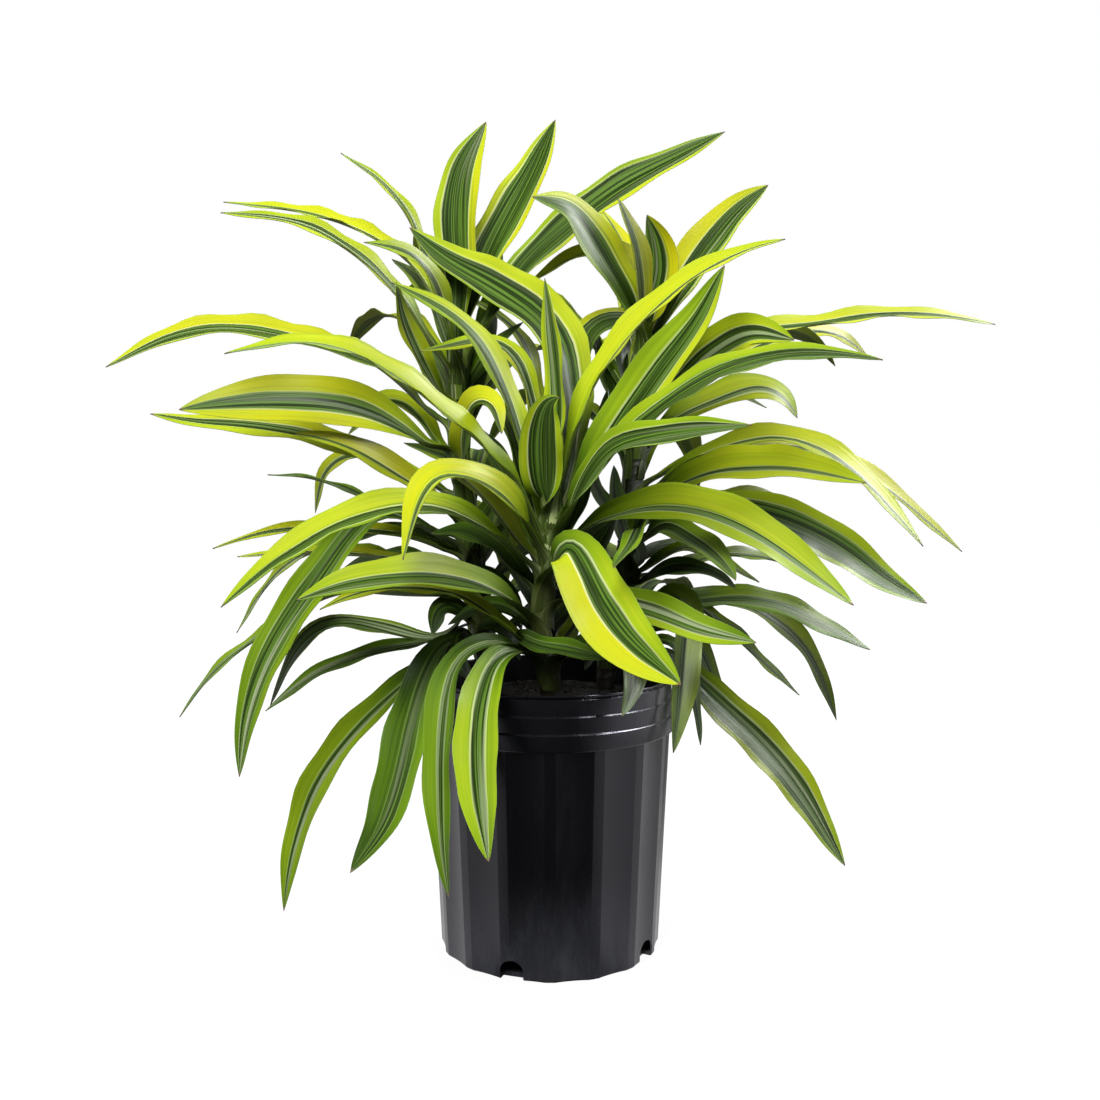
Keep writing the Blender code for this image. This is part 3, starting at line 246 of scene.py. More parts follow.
LEAVES = [Leaf(*row) for row in (
    # The middle of the front cane's head
    ("front", 42, ((0.5, 48), (0.6, 54), (0.1, 60), (-0.5, 65.2)),
     -3.2, 2.7, 0.75, 0.6, 0.6, -0.55, 0.55, 0.5),
    ("front", 41, ((-0.5, 44), (-0.8, 48), (-0.7, 51.2), (-0.1, 53.4), (0.9, 53.8)),
     -7.9, 4.6, 0.95, 0.55, 0.55, -0.66, 0.66, 0.1),
    ("front", 41, ((-2.3, 48.5), (-4.4, 55), (-7.3, 60), (-11, 62.8), (-15.3, 64.8)),
     -3.2, 3.2, 0.65, 0.65, 0.45, -0.3, 0.5, 0.2),
    ("front", 42, ((1.4, 46), (2.6, 52), (5, 57), (9.2, 62), (14, 65.8), (19, 68.1), (22.6, 68.9)),
     -3, 4.2, 0.45, 0.75, 0.72, -0.5, -0.1, 0.3),
    ("front", 40, ((2.8, 44.8), (5.8, 50), (10.4, 56.6), (14, 61.2), (16.8, 66.4)),
     -8, 5.4, 0.8, 0.7, 0.4, -0.55, 0.35, 0.2),
    ("front", 42, ((1.8, 48), (2.2, 55), (0.4, 60.8), (-5, 64.8), (-10, 67.3), (-13.5, 70)),
     0, 5.6, 0.85, 0.7, 0.45, -0.5, 0.88, 0.1),
    ("front", 40, ((-1, 50), (-3, 57.3), (-5.6, 59.4), (-8.8, 58.9), (-12.6, 58.2)),
     -3.2, 3.4, 0.5, 0.6, 0.75, -0.5, 0.3, 0.3),
    ("front", 41, ((-0.8, 52), (-2.5, 59.3), (-5.5, 62), (-8.6, 63.7)),
     -1, 2.8, 0.45, 0.55, 0.6, -0.35, 0.35, 0.6),
    ("front", 41, ((2.2, 50), (2.8, 58), (4.6, 61.2), (8, 61.4), (11.2, 60.7)),
     -2, 4, 0.75, 0.15, 0.8, -0.85, 0.6, 0.1),
    # The front cane's leaves, going left
    ("front", 38, ((-3.4, 46), (-7.6, 50.6), (-11.8, 54), (-14.3, 56), (-19.4, 58.7), (-24.5, 59.4),
                   (-31.5, 58)), -14, 3.8, 0.4, 0.66, 0.5, 0.15, 0.75, 0.7),
    ("front", 36, ((-2.9, 38.4), (-6.1, 41.2), (-9.8, 43.2), (-14, 43.7), (-20.7, 42), (-24.4, 39.8),
                   (-28.2, 37.2), (-32.3, 33.3)), -15, 3.7, 0.7, 0.64, 0.4, -0.05, 0.75, 0.3),
    ("front", 37, ((-3, 43.2), (-5.6, 45.6), (-8.6, 46.7), (-11.2, 46.6), (-13, 44.2), (-14.4, 38)),
     -17, 3.6, 0.6, 0.8, 0.65, 0.1, 0.7, 0.3),
    ("front", 37, ((-3.6, 40.8), (-6, 43.9), (-8.8, 46.3), (-11, 46.6)),
     -7, 3, -0.5, 0.8, 0.8, -0.2, 0.2, 0.9),
    ("front", 31, ((-4.6, 34.7), (-9.5, 36.5), (-15, 36.6), (-20, 35.8), (-24.9, 34)),
     -16, 4.7, 0.66, 0.6, 0.35, -0.2, 0.7, 0.3),
    ("front", 28, ((-4.8, 32), (-9, 34.8), (-14, 35.4), (-18.5, 34.9), (-22.6, 33.1)),
     -10, 3.4, 0.45, 0.8, 0.7, -0.2, 0.2, 0.9),
    # The front cane's leaves, going right
    ("front", 38, ((2.6, 40.6), (5.4, 42.3), (9.4, 43.5), (14, 43.4), (19, 41.6), (24, 38.3), (29.8, 33.5)),
     -17, 4.4, 0.85, 0.5, 0.62, -0.4, 0, 0.3),
    ("front", 38, ((2.6, 44.5), (5, 48.4), (8.6, 51.3), (13.5, 55), (19, 57.4), (26, 58.2), (32.2, 57.4)),
     -10, 3.8, 0.55, 0.3, 0.5, -0.9, 0.5, 0.3),
    ("front", 39, ((3.2, 45.5), (5.8, 49), (9.7, 50.2), (14.6, 50.8), (19.6, 51.1)),
     -15, 3.6, 0.65, 0.3, 0.45, -0.9, 0.6, 0.3),
    ("front", 34.5, ((0.4, 37.8), (1.5, 39.6), (3, 37.4), (4.8, 33.6), (7.8, 29.6), (12.9, 25.6)),
     -22, 6.2, 0.97, 0.84, 0.52, -0.15, 0.5, 0.3),
    ("front", 33, ((3.4, 34.8), (7.6, 33.8), (11, 32.7), (15, 31.1), (20.3, 29.8)),
     -14, 3.8, 0.85, 0.5, 0.35, -0.4, 0.4, 0.7),
    # The front cane's leaves, hanging over the rim
    ("front", 28, ((-3.2, 29.2), (-5.4, 28.3), (-6.8, 24.5), (-7.3, 20), (-7, 14), (-6.1, 7.8)),
     -19, 4.3, 0.95, 0.5, 0.42, -0.35, 0.4, 0.5),
    ("front", 28, ((3.4, 29.4), (6.2, 29.4), (8.2, 27.8), (8.2, 25.4), (7.1, 22.5)),
     -16, 2.8, 0.9, 0.25, 0.25, -0.4, 0.4, 0.3),
    ("front", 29, ((-3, 30.4), (-1.2, 29.7), (2, 29), (5.9, 28.2)), -9, 3, 0.6, 0.05, 0.05, -0.5, 0.5, 0.1),
    # The left cane's head
    ("left", 58, ((-8.7, 66), (-8.9, 70), (-8.4, 75.2), (-6.1, 79.9)),
     9, 5.5, 0.85, 0.8, 0.55, -0.5, 0.72, 0.5),
    ("left", 58, ((-7.4, 64), (-5.3, 69), (-2.1, 74.7), (0.5, 80.1)), 8, 5.4, 0.8, 0.85, 0.7, -0.7, 0.7, 0),
    ("left", 56, ((-5.4, 62), (-2.7, 66.2), (1.3, 69.9), (6.4, 73.8), (12.3, 76.8), (16.7, 79)),
     6, 4.8, 0.7, 0.75, 0.45, -0.7, 0.8, 0.3),
    ("left", 57, ((-11, 64), (-12.9, 70), (-15.5, 73.8), (-20, 77)), 12, 3, 0.35, 0.6, 0.6, -0.5, 0.4, 0.8),
    ("left", 57, ((-10.6, 62), (-12.8, 66.4), (-17.2, 69.5), (-23, 71.5), (-31.3, 72.4)),
     9, 3.7, 0.3, 0.8, 0.6, -0.2, 0.5, 0.7),
    ("left", 55, ((-11.8, 59.6), (-14.6, 63.8), (-18, 67.2), (-23.5, 70.4), (-31.6, 71.4)),
     2, 3.6, 0.4, 0.6, 0.7, -0.5, 0.3, 0.9),
    ("left", 56, ((-10, 62), (-11.2, 65.3), (-13, 67.4), (-15.2, 68.2), (-17.9, 68.6)),
     -3, 2.8, 0.55, 0.6, 0.5, -0.3, 0.4, 0.8),
    ("left", 56, ((-10.2, 60), (-11.6, 63.6), (-13.2, 65.6), (-15.2, 67)),
     16, 3.2, 0.6, 0.45, 0.45, -0.5, 0.5, 0.3),
    # The left cane's leaves, going left
    ("left", 52, ((-12.9, 55.2), (-17, 57.2), (-23, 59.3), (-30, 60.7), (-36, 60.1), (-43, 56.7)),
     1, 3.7, 0.6, 0.85, 0.6, -0.3, 0.8, 0.5),
    ("left", 50, ((-11.6, 52.3), (-14.4, 55.2), (-18, 57.8), (-23, 59.3), (-27, 59.8)),
     12, 3.2, -0.4, 0.6, 0.6, -0.5, 0.5, 0.9),
    ("left", 48, ((-11.5, 48.8), (-15, 51.4), (-20, 53.2), (-26, 53.6), (-31, 53.3), (-36, 52.6)),
     -9, 5.4, 0.9, 0.8, 0.85, -0.4, 0.4, 0.1),
    ("left", 47, ((-11, 49.5), (-12.6, 52), (-14.6, 53.5), (-16.8, 53.2), (-19.6, 50.2)),
     17, 3.6, 0.5, 0.6, 0.6, -0.3, 0.5, 0.2),
    ("left", 41, ((-11.6, 43.6), (-14.4, 46), (-18.1, 48.4), (-23.2, 50.2), (-29.6, 51.2), (-34, 51.4),
                  (-38.8, 52.2)), -3, 3.6, 0.65, 0.8, 0.65, -0.45, 0.25, 0.3),
    ("left", 40, ((-11.6, 44.4), (-14.5, 46.4), (-18, 48.5), (-21.5, 49.8), (-25, 50.3)),
     -1, 3.4, 0.65, 0.9, 0.7, -0.05, 0.3, 0.4),
    ("left", 43, ((-14.6, 47.3), (-17.6, 48.3), (-20.2, 48.2), (-22, 46.6), (-22.6, 44.6), (-22.9, 42.6)),
     18, 2.8, 0.6, 0.7, 0.7, -0.3, 0.4, 0.6),
    ("left", 39, ((-13.5, 41.9), (-18, 44.1), (-23, 46), (-27.5, 46.3)),
     10, 2, 0.22, 0.2, 0.2, -0.7, 0.7, 0.4),
    ("left", 37, ((-13, 40.2), (-17.5, 40.9), (-22, 41.1), (-27.5, 40.8), (-33, 39.1)),
     4, 3, 0.35, 0.8, 0.7, -0.4, 0.3, 0.6),
    ("left", 36, ((-12.6, 37.8), (-18, 38.6), (-24, 38.8), (-30.6, 38.3)),
     12, 3, 0.35, 0.8, 0.7, -0.3, 0.3, 0.8),
    # The left cane's leaves, hanging
    ("left", 38, ((-12.5, 41.2), (-15.6, 43), (-18.4, 42.2), (-20.4, 39.8), (-22.9, 36.2), (-25.9, 32),
                  (-28.4, 27.4), (-30.1, 22.1), (-30.8, 16.4)), -8, 4.3, 0.85, 0.25, 0.3, -0.5, 0.55, 0.8),
    ("left", 35, ((-13.5, 37.6), (-19, 39.2), (-24, 38.7), (-27.6, 35.8), (-30.8, 30.8)),
     15, 2.6, 0.35, 0.55, 0.5, -0.4, 0.4, 0.8),
    ("left", 34, ((-14, 34.6), (-21, 34.9), (-28, 30.9), (-33, 27.2), (-36.6, 22.4)),
     11, 2.8, 0.35, 0.35, 0.3, -0.5, 0.5, 0.6),
    ("left", 33, ((-10.4, 30.4), (-13.2, 30.4), (-17.1, 31.4), (-20.5, 32), (-23.4, 30.9), (-25.4, 28.4),
                  (-27.6, 23.6)), -3, 2.8, 0.55, 0.4, 0.4, -0.8, 0.8, 0.95),
    ("left", 31, ((-11.5, 30.2), (-15, 29.4), (-19.5, 28.4), (-24, 26.2), (-28.1, 23)),
     3, 2.7, 0.55, 0.2, 0.2, -0.5, 0.5, 0.6),
    ("left", 29, ((-10, 30.3), (-12.2, 27.3), (-13.9, 22), (-15, 17), (-16.7, 11.5), (-19.9, 6.7)),
     -12, 4.6, 0.88, 0.05, 0.2, -0.25, 0.5, 0.2),
    ("left", 30, ((-10.6, 28.6), (-13.4, 26.9), (-15.7, 24.8), (-18.3, 22.4), (-20.9, 19.4), (-23.3, 15.9),
                  (-25, 11.4), (-26.1, 7), (-26.6, 2.8)), -2, 3.8, 0.8, 0.4, 0.4, -0.2, 0.35, 0.7),
    ("front", 27.5, ((-3.6, 29.6), (-7, 30), (-9.8, 27.6), (-11, 21), (-11.1, 14), (-10.8, 9),
                     (-10.1, 4.2)), -20, 3.4, 0.8, 0.25, 0.15, -0.2, 0.4, 0.4),
    ("left", 44, ((-8.6, 50), (-7.4, 53.4), (-5.7, 53.3), (-4.7, 50.3)),
     -12, 3.8, 0.6, 0.15, 0.8, -0.6, 0.2, 0.1),
    # The right cane's head
    ("right", 57, ((8.4, 61.7), (7.2, 64.2), (5.4, 67.1), (3.5, 70.1), (1.8, 72), (-1.7, 72.9)),
     -1, 5.2, 0.7, 0.8, 0.4, -0.5, 0.75, 0.1),
    ("right", 56, ((9.2, 62), (8.6, 66), (6.6, 68), (3.8, 68), (1, 66.8), (-2.2, 64.6)),
     11, 3, -0.55, 0.9, 0.95, -0.3, 0.1, 0.9),
    ("right", 58, ((9, 64), (8.2, 68.6), (7.3, 71), (6.5, 72.7)), 14, 4.4, 0.4, 0.8, 0.7, -0.4, 0.4, 0.3),
    ("right", 58, ((10, 63), (10.8, 66), (10.4, 69), (9.3, 71.2)),
     9, 4.6, 0.85, 0.95, 0.2, -0.2, 0.85, 0.3),
    ("right", 57, ((8.6, 63), (7.8, 66.8), (6.2, 70), (4.6, 72)),
     15, 3.4, 0.6, 0.95, 0.8, -0.15, 0.15, 0.3),
    ("right", 57, ((11.4, 62.8), (13.4, 66.4), (15.7, 69.5), (18, 72), (20.9, 74)),
     4, 4.6, 0.9, 0.7, 0.9, -0.85, 0.35, 0.6),
    ("right", 53, ((12.2, 55.4), (15.4, 58.3), (19.2, 60.2), (23.6, 59.3)),
     -9, 4.3, 0.9, 0.7, 0.6, -0.6, 0.4, 0.5),
    ("right", 54, ((13, 58.7), (18, 60.3), (25, 60.9), (32, 61.9), (38, 61.7), (43, 60.8)),
     9, 3.2, 0.45, 0.7, 0.75, -0.5, 0.3, 0.9),
    ("right", 53, ((13.4, 57.4), (18.6, 59.4), (22.6, 60.1), (25.6, 59.2), (27.6, 56.8)),
     14, 3.8, -0.6, 0.6, 0.6, -0.5, 0.5, 0.8),
    ("right", 52, ((13, 55.8), (18.5, 58.2), (24, 60.2), (28, 59.9), (31, 57.4)),
     18, 4.2, 0.5, 0.8, 0.9, -0.3, 0.2, 0.4),
    # The right cane's leaves, going right
    ("right", 49, ((12.6, 52.2), (16.6, 53.9), (20.4, 54.9), (22.8, 53.8), (24, 51.8)),
     6, 4.2, 0.7, 0.7, 0.62, -0.35, 0.15, 0.9),
    ("right", 47, ((12.4, 52), (15.6, 54.2), (18.4, 54), (21, 52.8)),
     14, 3.2, 0.3, 0.4, 0.4, -0.5, 0.5, 0.7),
    ("right", 43, ((10.6, 45.2), (13.2, 47.6), (16.4, 49.2), (21.5, 50.3), (24.9, 49.8), (28, 48.2),
                   (30.3, 46.4), (32.3, 44.3), (34.5, 41.8), (36.5, 39.3)),
     -4, 3.4, 0.6, 0.6, 0.75, -0.4, 0.05, 0.4),
    ("right", 44, ((12.6, 47.4), (17.3, 48.9), (21.5, 49.6), (25.5, 49), (29.2, 47.4), (33.2, 45),
                   (36.2, 42.4), (40.3, 38.8)), 8, 3.4, 0.5, 0.7, 0.85, -0.4, 0.1, 0.6),
    ("right", 42, ((11.6, 45.1), (15, 46.8), (20, 47.5), (25.5, 47), (30.8, 45.5)),
     -12, 4.3, 0.78, 0.7, 0.7, -0.4, -0.05, 0.2),
    ("right", 40, ((12.4, 43), (17, 44.2), (21.4, 44.2), (24.1, 42.4), (26, 40.1)),
     7, 2.8, 0.45, 0.3, 0.65, -0.6, 0.1, 0.3),
    ("right", 38, ((12, 41.8), (17, 43.2), (23, 41.9), (28.4, 39.3), (33, 35.9), (37, 33.7)),
     -3, 5, 0.85, 0.5, 0.55, -0.75, 0.6, 0.1),
    ("right", 38, ((11, 41.4), (14.2, 39.9), (16.6, 38), (18.2, 36)),
     -14, 3.8, 0.65, 0.3, 0.35, -0.4, 0.4, 0.2),
    ("right", 37, ((8.8, 42.4), (8.4, 40.4), (6.2, 37.2)), -17, 3, 0.55, 0.3, 0.35, -0.5, 0.4, 0.2),
    ("right", 35, ((11, 38.3), (13.4, 39.5), (16.5, 38), (20.5, 35.8)),
     -7, 2.6, 0.45, 0.45, 0.45, -0.5, 0.3, 0.6),
    ("right", 35, ((12.5, 37.4), (17, 38.6), (21.5, 38.2), (25.5, 36.8)),
     12, 2.6, 0.4, 0.4, 0.4, -0.5, 0.3, 0.8),
    # The right cane's leaves, hanging
    ("right", 32, ((12, 33.6), (17, 34.2), (21.5, 33.9), (26, 32), (31.5, 29.1)),
     3, 3.7, 0.65, 0.2, 0.35, -0.5, 0.4, 0.3),
    ("right", 31, ((12, 33.8), (15.4, 33), (19, 29.9), (22, 27), (24.6, 24.6)),
     9, 3, 0.4, 0.35, 0.35, -0.4, 0.4, 0.5),
    ("right", 33, ((13, 34.6), (18.6, 34), (22.9, 31.8), (25.6, 28.8), (27.2, 25.4), (28.3, 22.1)),
     14, 3.2, 0.7, 0.35, 0.5, -0.5, 0.2, 0.3),
    ("right", 30, ((12, 34.9), (13.6, 33.6), (13.4, 28), (13, 23.8), (12.2, 18.8)),
     -8, 3.4, 0.85, 0.3, 0.45, -0.5, 0, 0.3),
    ("right", 28, ((12, 28.4), (14.7, 25.6), (18.2, 22.4), (21.9, 18.8), (25.3, 14.4), (27.5, 10.6),
                   (29.4, 7.4)), -3, 4.6, 0.88, 0.55, 0.55, -0.65, 0.55, 0.6),
    ("right", 29, ((12.6, 31.5), (15, 28.8), (16.6, 24.6), (18, 20.5)),
     4, 2.8, 0.65, 0.25, 0.3, -0.4, 0.4, 0.3),
    ("right", 28, ((11.6, 30), (13.4, 27.4), (14.4, 23.4), (14.9, 19.6)),
     -1, 2.2, 0.6, 0.2, 0.2, -0.4, 0.4, 0.3),
    # The dark leaves inside, between the canes
    ("front", 31, ((-1.8, 34), (-3.8, 37.4), (-6.6, 41), (-10, 43.6)), 3, 4.4, 0.45, *SHADED_NARROW),
    ("front", 30, ((1.6, 32.6), (3.4, 35), (6, 37.4), (9, 38.6)), 3, 4, 0.45, *SHADED_NARROW),
    ("front", 27, ((1.4, 28.4), (3.4, 30), (6, 30.4), (8.6, 28.8)), -6, 2.8, 0.6, *SHADED_NARROW),
    ("left", 34, ((-8.4, 38), (-6.8, 41.5), (-5.2, 44), (-4, 45.6)), 1, 3.4, 0.5, *SHADED_NARROW),
    ("left", 32, ((-8.6, 35.6), (-6.4, 36.4), (-4.2, 34.4), (-2.8, 31)), 0, 3.8, 0.6, *SHADED_NARROW),
    ("left", 28, ((-7.6, 30.6), (-6, 31.8), (-4, 30.8), (-3, 28)), 0, 2.8, 0.6, *SHADED_NARROW),
    ("left", 48, ((-8.4, 52), (-6.6, 56), (-5.6, 60), (-5.6, 63.4)), 8, 3.4, 0.5, *SHADED_NARROW),
    ("right", 34, ((8.6, 37.6), (7.4, 40.6), (6.4, 43.6), (6.2, 47.2)),
     1, 4.6, 0.5, 0.15, 0.15, -0.5, 0.5, 0.1),
    ("right", 30, ((8.4, 32.8), (6.4, 33.6), (4.4, 31.4), (3.2, 28)), 1, 3, 0.6, *SHADED_NARROW),
    ("right", 28, ((8, 30), (6.2, 30.6), (4.4, 29), (3.4, 27)), 5, 2.6, 0.6, *SHADED_NARROW),
    ("right", 48, ((9, 52), (7.4, 56), (6.8, 60), (7.2, 63.4)), 8, 3.4, 0.5, *SHADED_NARROW),
    ("front", 38, ((-1.8, 43), (-2.9, 47), (-3.9, 50.6), (-5.4, 54)),
     -2, 3.2, 0.5, 0.4, 0.3, -0.5, 0.5, 0.2),
    ("front", 36, ((-3, 41), (-5.6, 44.8), (-9.4, 47.8), (-14.2, 49.4)),
     -1, 4, 0.5, 0.4, 0.4, -0.4, 0.4, 0.3),
    ("front", 37, ((2, 41.5), (3.4, 45), (4.7, 49.5), (5.6, 54.6)), -1, 4.2, 0.5, *SHADED),
    ("front", 34, ((-3, 37), (-5.6, 39.6), (-8.6, 40.9), (-11.6, 40.6)), 0, 4, 0.5, *SHADED),
    ("front", 29, ((-2.2, 31.6), (-4.6, 33.2), (-7.4, 33.2), (-10, 31.6)), -2, 3, 0.5, *SHADED),
    ("front", 34, ((2, 38), (4, 40.4), (6.6, 42.2), (9.8, 43)), 2, 4, 0.5, *SHADED),
    ("front", 39, ((-3, 44.6), (-4.8, 47.4), (-6.6, 50), (-8.4, 52)), 2, 4.2, 0.5, *SHADED),
    ("left", 50, ((-8.4, 54), (-6.6, 57), (-4.6, 59.4), (-2.6, 61)), 6, 3.2, 0.5, *SHADED),
    ("left", 52, ((-7.8, 57), (-6.4, 61), (-5.2, 65), (-4.6, 68)), 10, 3.2, 0.5, *SHADED),
    ("left", 28, ((-8.4, 30.6), (-8.8, 29.4), (-8.4, 27.6), (-7.4, 26)), -2, 2.8, 0.6, *SHADED),
    ("right", 47, ((7.4, 51.6), (5.8, 55), (4.6, 58.6), (4, 61.6)), 6, 3.2, 0.5, *SHADED),
    ("right", 36, ((7, 40.6), (5, 44), (3.6, 47.4), (3, 50)), 4, 3, 0.5, *SHADED),
    ("right", 28, ((5.6, 31), (3.8, 32.8), (1.8, 33.2), (0, 32)), 0, 2.8, 0.5, *SHADED),
    ("front", 33, ((2.6, 35.6), (4.4, 38.2), (5.8, 40.6), (6.6, 43.4)), 0, 3.2, 0.5, *SHADED),
    ("right", 34, ((9.8, 36.4), (12.8, 37.2), (15.6, 36.8), (18.2, 35.2)), -6, 3, 0.5, *SHADED),
    ("right", 36, ((10.4, 39), (12.6, 39.4), (15, 38.8), (17.4, 37.4)), 12, 3, 0.5, *SHADED),
    ("left", 33, ((-7.6, 36.4), (-6.4, 38.6), (-5, 40.6), (-3.8, 42.6)), 4, 3, 0.5, *SHADED),
    ("left", 30, ((-8.6, 32.6), (-10, 33.4), (-11, 32.6), (-11.6, 30.6)), 5, 3.4, 0.6, *SHADED),
    ("left", 37, ((-11, 40), (-13.6, 41), (-16.4, 40.9), (-19.4, 39.8)), 6, 2.8, 0.5, *SHADED),
    ("left", 35, ((-11, 37.4), (-14, 38.4), (-17.4, 38.2), (-20.6, 36.9)), 8, 2.8, 0.5, *SHADED),
    ("left", 52, ((-11.4, 55.6), (-13, 58.6), (-14.2, 61.6), (-14.8, 64.8)),
     3, 3.2, 0.6, 0.6, 0.7, -0.4, 0.4, 0.95),
    ("front", 27.5, ((1.4, 30.4), (2.6, 32), (2.6, 34), (1.8, 36)), 3, 2.6, 0.5, 0.6, 0.5, -0.3, 0.3, 0.1),
)]

# Colours of the leaves
MARGIN_STOPS = (
    (0.0, "#2E460A"),
    (0.2, "#587810"),
    (0.45, "#88A216"),
    (0.7, "#AEBA1E"),
    (1.0, "#C0BA10"),
)
MARGIN_VARIES = 0.30
# Noise along a leaf: its cells across half a blade and along a metre
STREAK_CELLS = (4.5, 3.0)
LINE_CELLS = (13.0, 5.0)
WANDER_CELLS = (1.0, 14.0)
# Most of what follows gives the stretch over which a look comes in, and some its strength at each end.
# Across the blade, the right margin's colour changes to the left one's:
LEFT_FROM = (-0.2, 0.2)
# Along it, margins are greener near the root and at the tip:
ROOT_GREENER = (0.05, 0.50, 0.46, 0.0)
TIP_GREENER = (0.75, 1.0, 0.0, 0.15)
BAND_DARK = "#20310C"
BAND_GREEN = "#567628"
BAND_SILVER_SHEEN = "#A2AE86"
BAND_SOFTNESS = 0.03
BAND_WANDER = 0.16
BAND_FRAY = 0.10
# Lighter lines in the band; the greener the leaf, the darker its band; and where it is silvery, partly a
# painted sheen
BAND_LINES = (0.40, 0.66)
DARKER_BAND = (0.0, 0.3, 0.6, 0.0)
SILVER_SHEEN_STREAKS = (0.48, 0.67)
# The cream lines along the band: fainter towards the tip, on green leaves, and here and there; and the
# blade's own edges, a painted highlight
CREAM_WIDTH = 0.060
CREAM_ALONG = (0.25, 0.75, 0.95, 0.56)
CREAM_BY_YELLOW = (0.0, 0.4, 0.45, 1.0)
CREAM_STREAKS = (0.30, 0.55, 0.4, 1.0)
EDGE_HIGHLIGHT = (0.93, 1.0, 0.0, 0.30)
CREAM_GREEN = "#86A850"
CREAM_YELLOW = "#E8E8B2"
# Thin green lines in the margins, beside the band and all over
PINSTRIPES = (0.56, 0.64)
PINSTRIPE_REACH = 0.30
PINSTRIPE_STRENGTH = 0.6
MARGIN_LINES = (0.5, 0.75, 0.0, 0.26)
BASE_PALE = "#C2CC96"
# The painted shade at a leaf's base: how dark it is, and over what stretch of the leaf it fades, in metres
BASE_PAINTED_SHADE = 0.86
PAINTED_SHADE_OVER = (0.020, 0.080)
# Leaves rooted this high and higher get less of that painted shade
PAINTED_SHADE_HEIGHTS = (0.335, 0.40)
LEAST_PAINTED_SHADE = 0.42
# Front leaves rooted above this height have bases with pale edges; the others have a trace of it, and
# so have those whose margins are less yellow than the second number
PALE_FROM = 0.36
SHADED_YELLOW = 0.06
PALE_TRACE = 0.05
# The pale fades out along the leaf, in metres, and from its edges inwards
PALE_ALONG = (0.010, 0.036, 0.70, 0.0)
PALE_ACROSS = (0.45, 0.95)
# The underside is a little greyer, and more so further out, in metres
UNDERSIDE = "#88964E"
UNDERSIDE_ALONG = (0.02, 0.12, 0.12, 0.45)
TIP_BROWN = "#6B5A40"
TIP_BROWN_FROM = (0.982, 0.997)
LEAF_ROUGHNESS = (0.3, 0.7, 0.36, 0.52)
LEAF_SPECULAR = 0.16
LEAF_RIB_HEIGHT = 0.00035
# Colours of the canes, from the soil up: their brown and green darkened nearly to black with painted shade
CANE_PAINTED_SHADE_STOPS = ((0.0, "#1C180E"), (0.5, "#211F12"), (1.0, "#2C341A"))
CANE_COLOUR_HEIGHTS = (0.24, 0.44)
CANE_PATCH = "#14120A"
CANE_PATCH_CELLS = (60, 60, 90)
CANE_PATCHES = (0.45, 0.75, 0.0, 0.6)
CANE_ROUGHNESS = (0.3, 0.7, 0.5, 0.8)
CANE_FIBRE_CELLS = (220, 220, 500)
CANE_FIBRE_HEIGHT = 0.0004
# The dark line of a scar lies at this share of the step between them
CANE_SCAR = "#16120A"
SCAR_LINE_AT = 0.72
SCAR_LINE = (0.10, 0.0, 0.0, 0.55)
# Colours of the soil and the bark, each dark and light
SOIL_COLOURS = ("#0B0806", "#2E2217")
BARK_COLOURS = ("#1A120B", "#4A3826")
CRUMB_CELLS = (380, 380, 380)
LUMP_CELLS = (60, 60, 60)
CRUMBS_BY_LUMPS = (0.3, 0.7, 0.7, 1.15)
SOIL_LIGHT = (0.38, 0.72)
SOIL_DULLNESS = (0.2, 0.8, 0.8, 1.0)
CRUMB_HEIGHT = 0.0012
# Colours of the pot
POT_BLACK = "#040407"
POT_DUST_AND_REFLECTION = "#46474D"
POT_SCUFF = "#6E7074"
SCUFF_CELLS = (70, 70, 16)
SPECK_CELLS = (420, 420, 260)
# Dust and a painted reflection of the floor pale the pot from this height down to the foot, most where
# the scuffs are; and light specks gather there too
DUST_AND_REFLECTION_HEIGHTS = (POT_NECK_Z / 2, 0.0)
DUST_AND_REFLECTION_BY_SCUFFS = (0.35, 0.75, 0.55, 1.0)
SPECKS = (0.66, 0.80)
SPECK_HEIGHTS = (0.16, 0.0, 0.0, 0.35)
SPECK_HEIGHT = 0.00006
POT_ROUGHNESS = (0.3, 0.75, 0.22, 0.36)
POT_SPECULAR = 0.50
POT_GLOSS_TINT = "#F1F1FF"

# The studio: name, place, aim, width and height, and power of each softbox, and whether it lights
# surfaces or shows in their gloss
SOFTBOXES = (
    ("key_softbox", (-0.7, -1.7, 2.5), (0.0, 0.0, 0.45), (1.9, 1.5), 128.0, True, False),
    ("left_softbox", (-1.5, 0.45, 0.4), (0.0, 0.0, 0.15), (2.2, 1.3), 5.0, False, True),
    ("right_softbox", (1.5, 0.15, 0.4), (0.0, 0.0, 0.15), (2.6, 1.3), 7.0, False, True),
    ("rim_softbox", (1.3, -0.2, 1.6), (0.0, 0.0, 0.2), (2.0, 0.6), 150.0, False, True),
    ("back_softbox", (0.3, 1.5, 2.2), (0.0, 0.0, 0.6), (1.4, 1.0), 64.0, True, False),
)
FILL_LIGHT = 0.20
# The floor glows white to the camera all over but for a faint painted shade round the pot, between
# these distances
FLOOR_WHITE = (0.10, 0.24, 0.94, 1.0)
# Of itself it is a dark grey with faint clouds
FLOOR_CELLS = (3, 3, 3)
FLOOR_GREY = (0.3, 0.7, 0.06, 0.0624)
FLOOR_ROUGHNESS = 0.9
# Beside the pot the floor glows for gloss rays only, a painted reflection in the pot, between these
# shares of sideways over away
SIDE_GLOW = (0.45, 0.85, 0.0, 0.76)
FLOOR_SIZE = 14.0

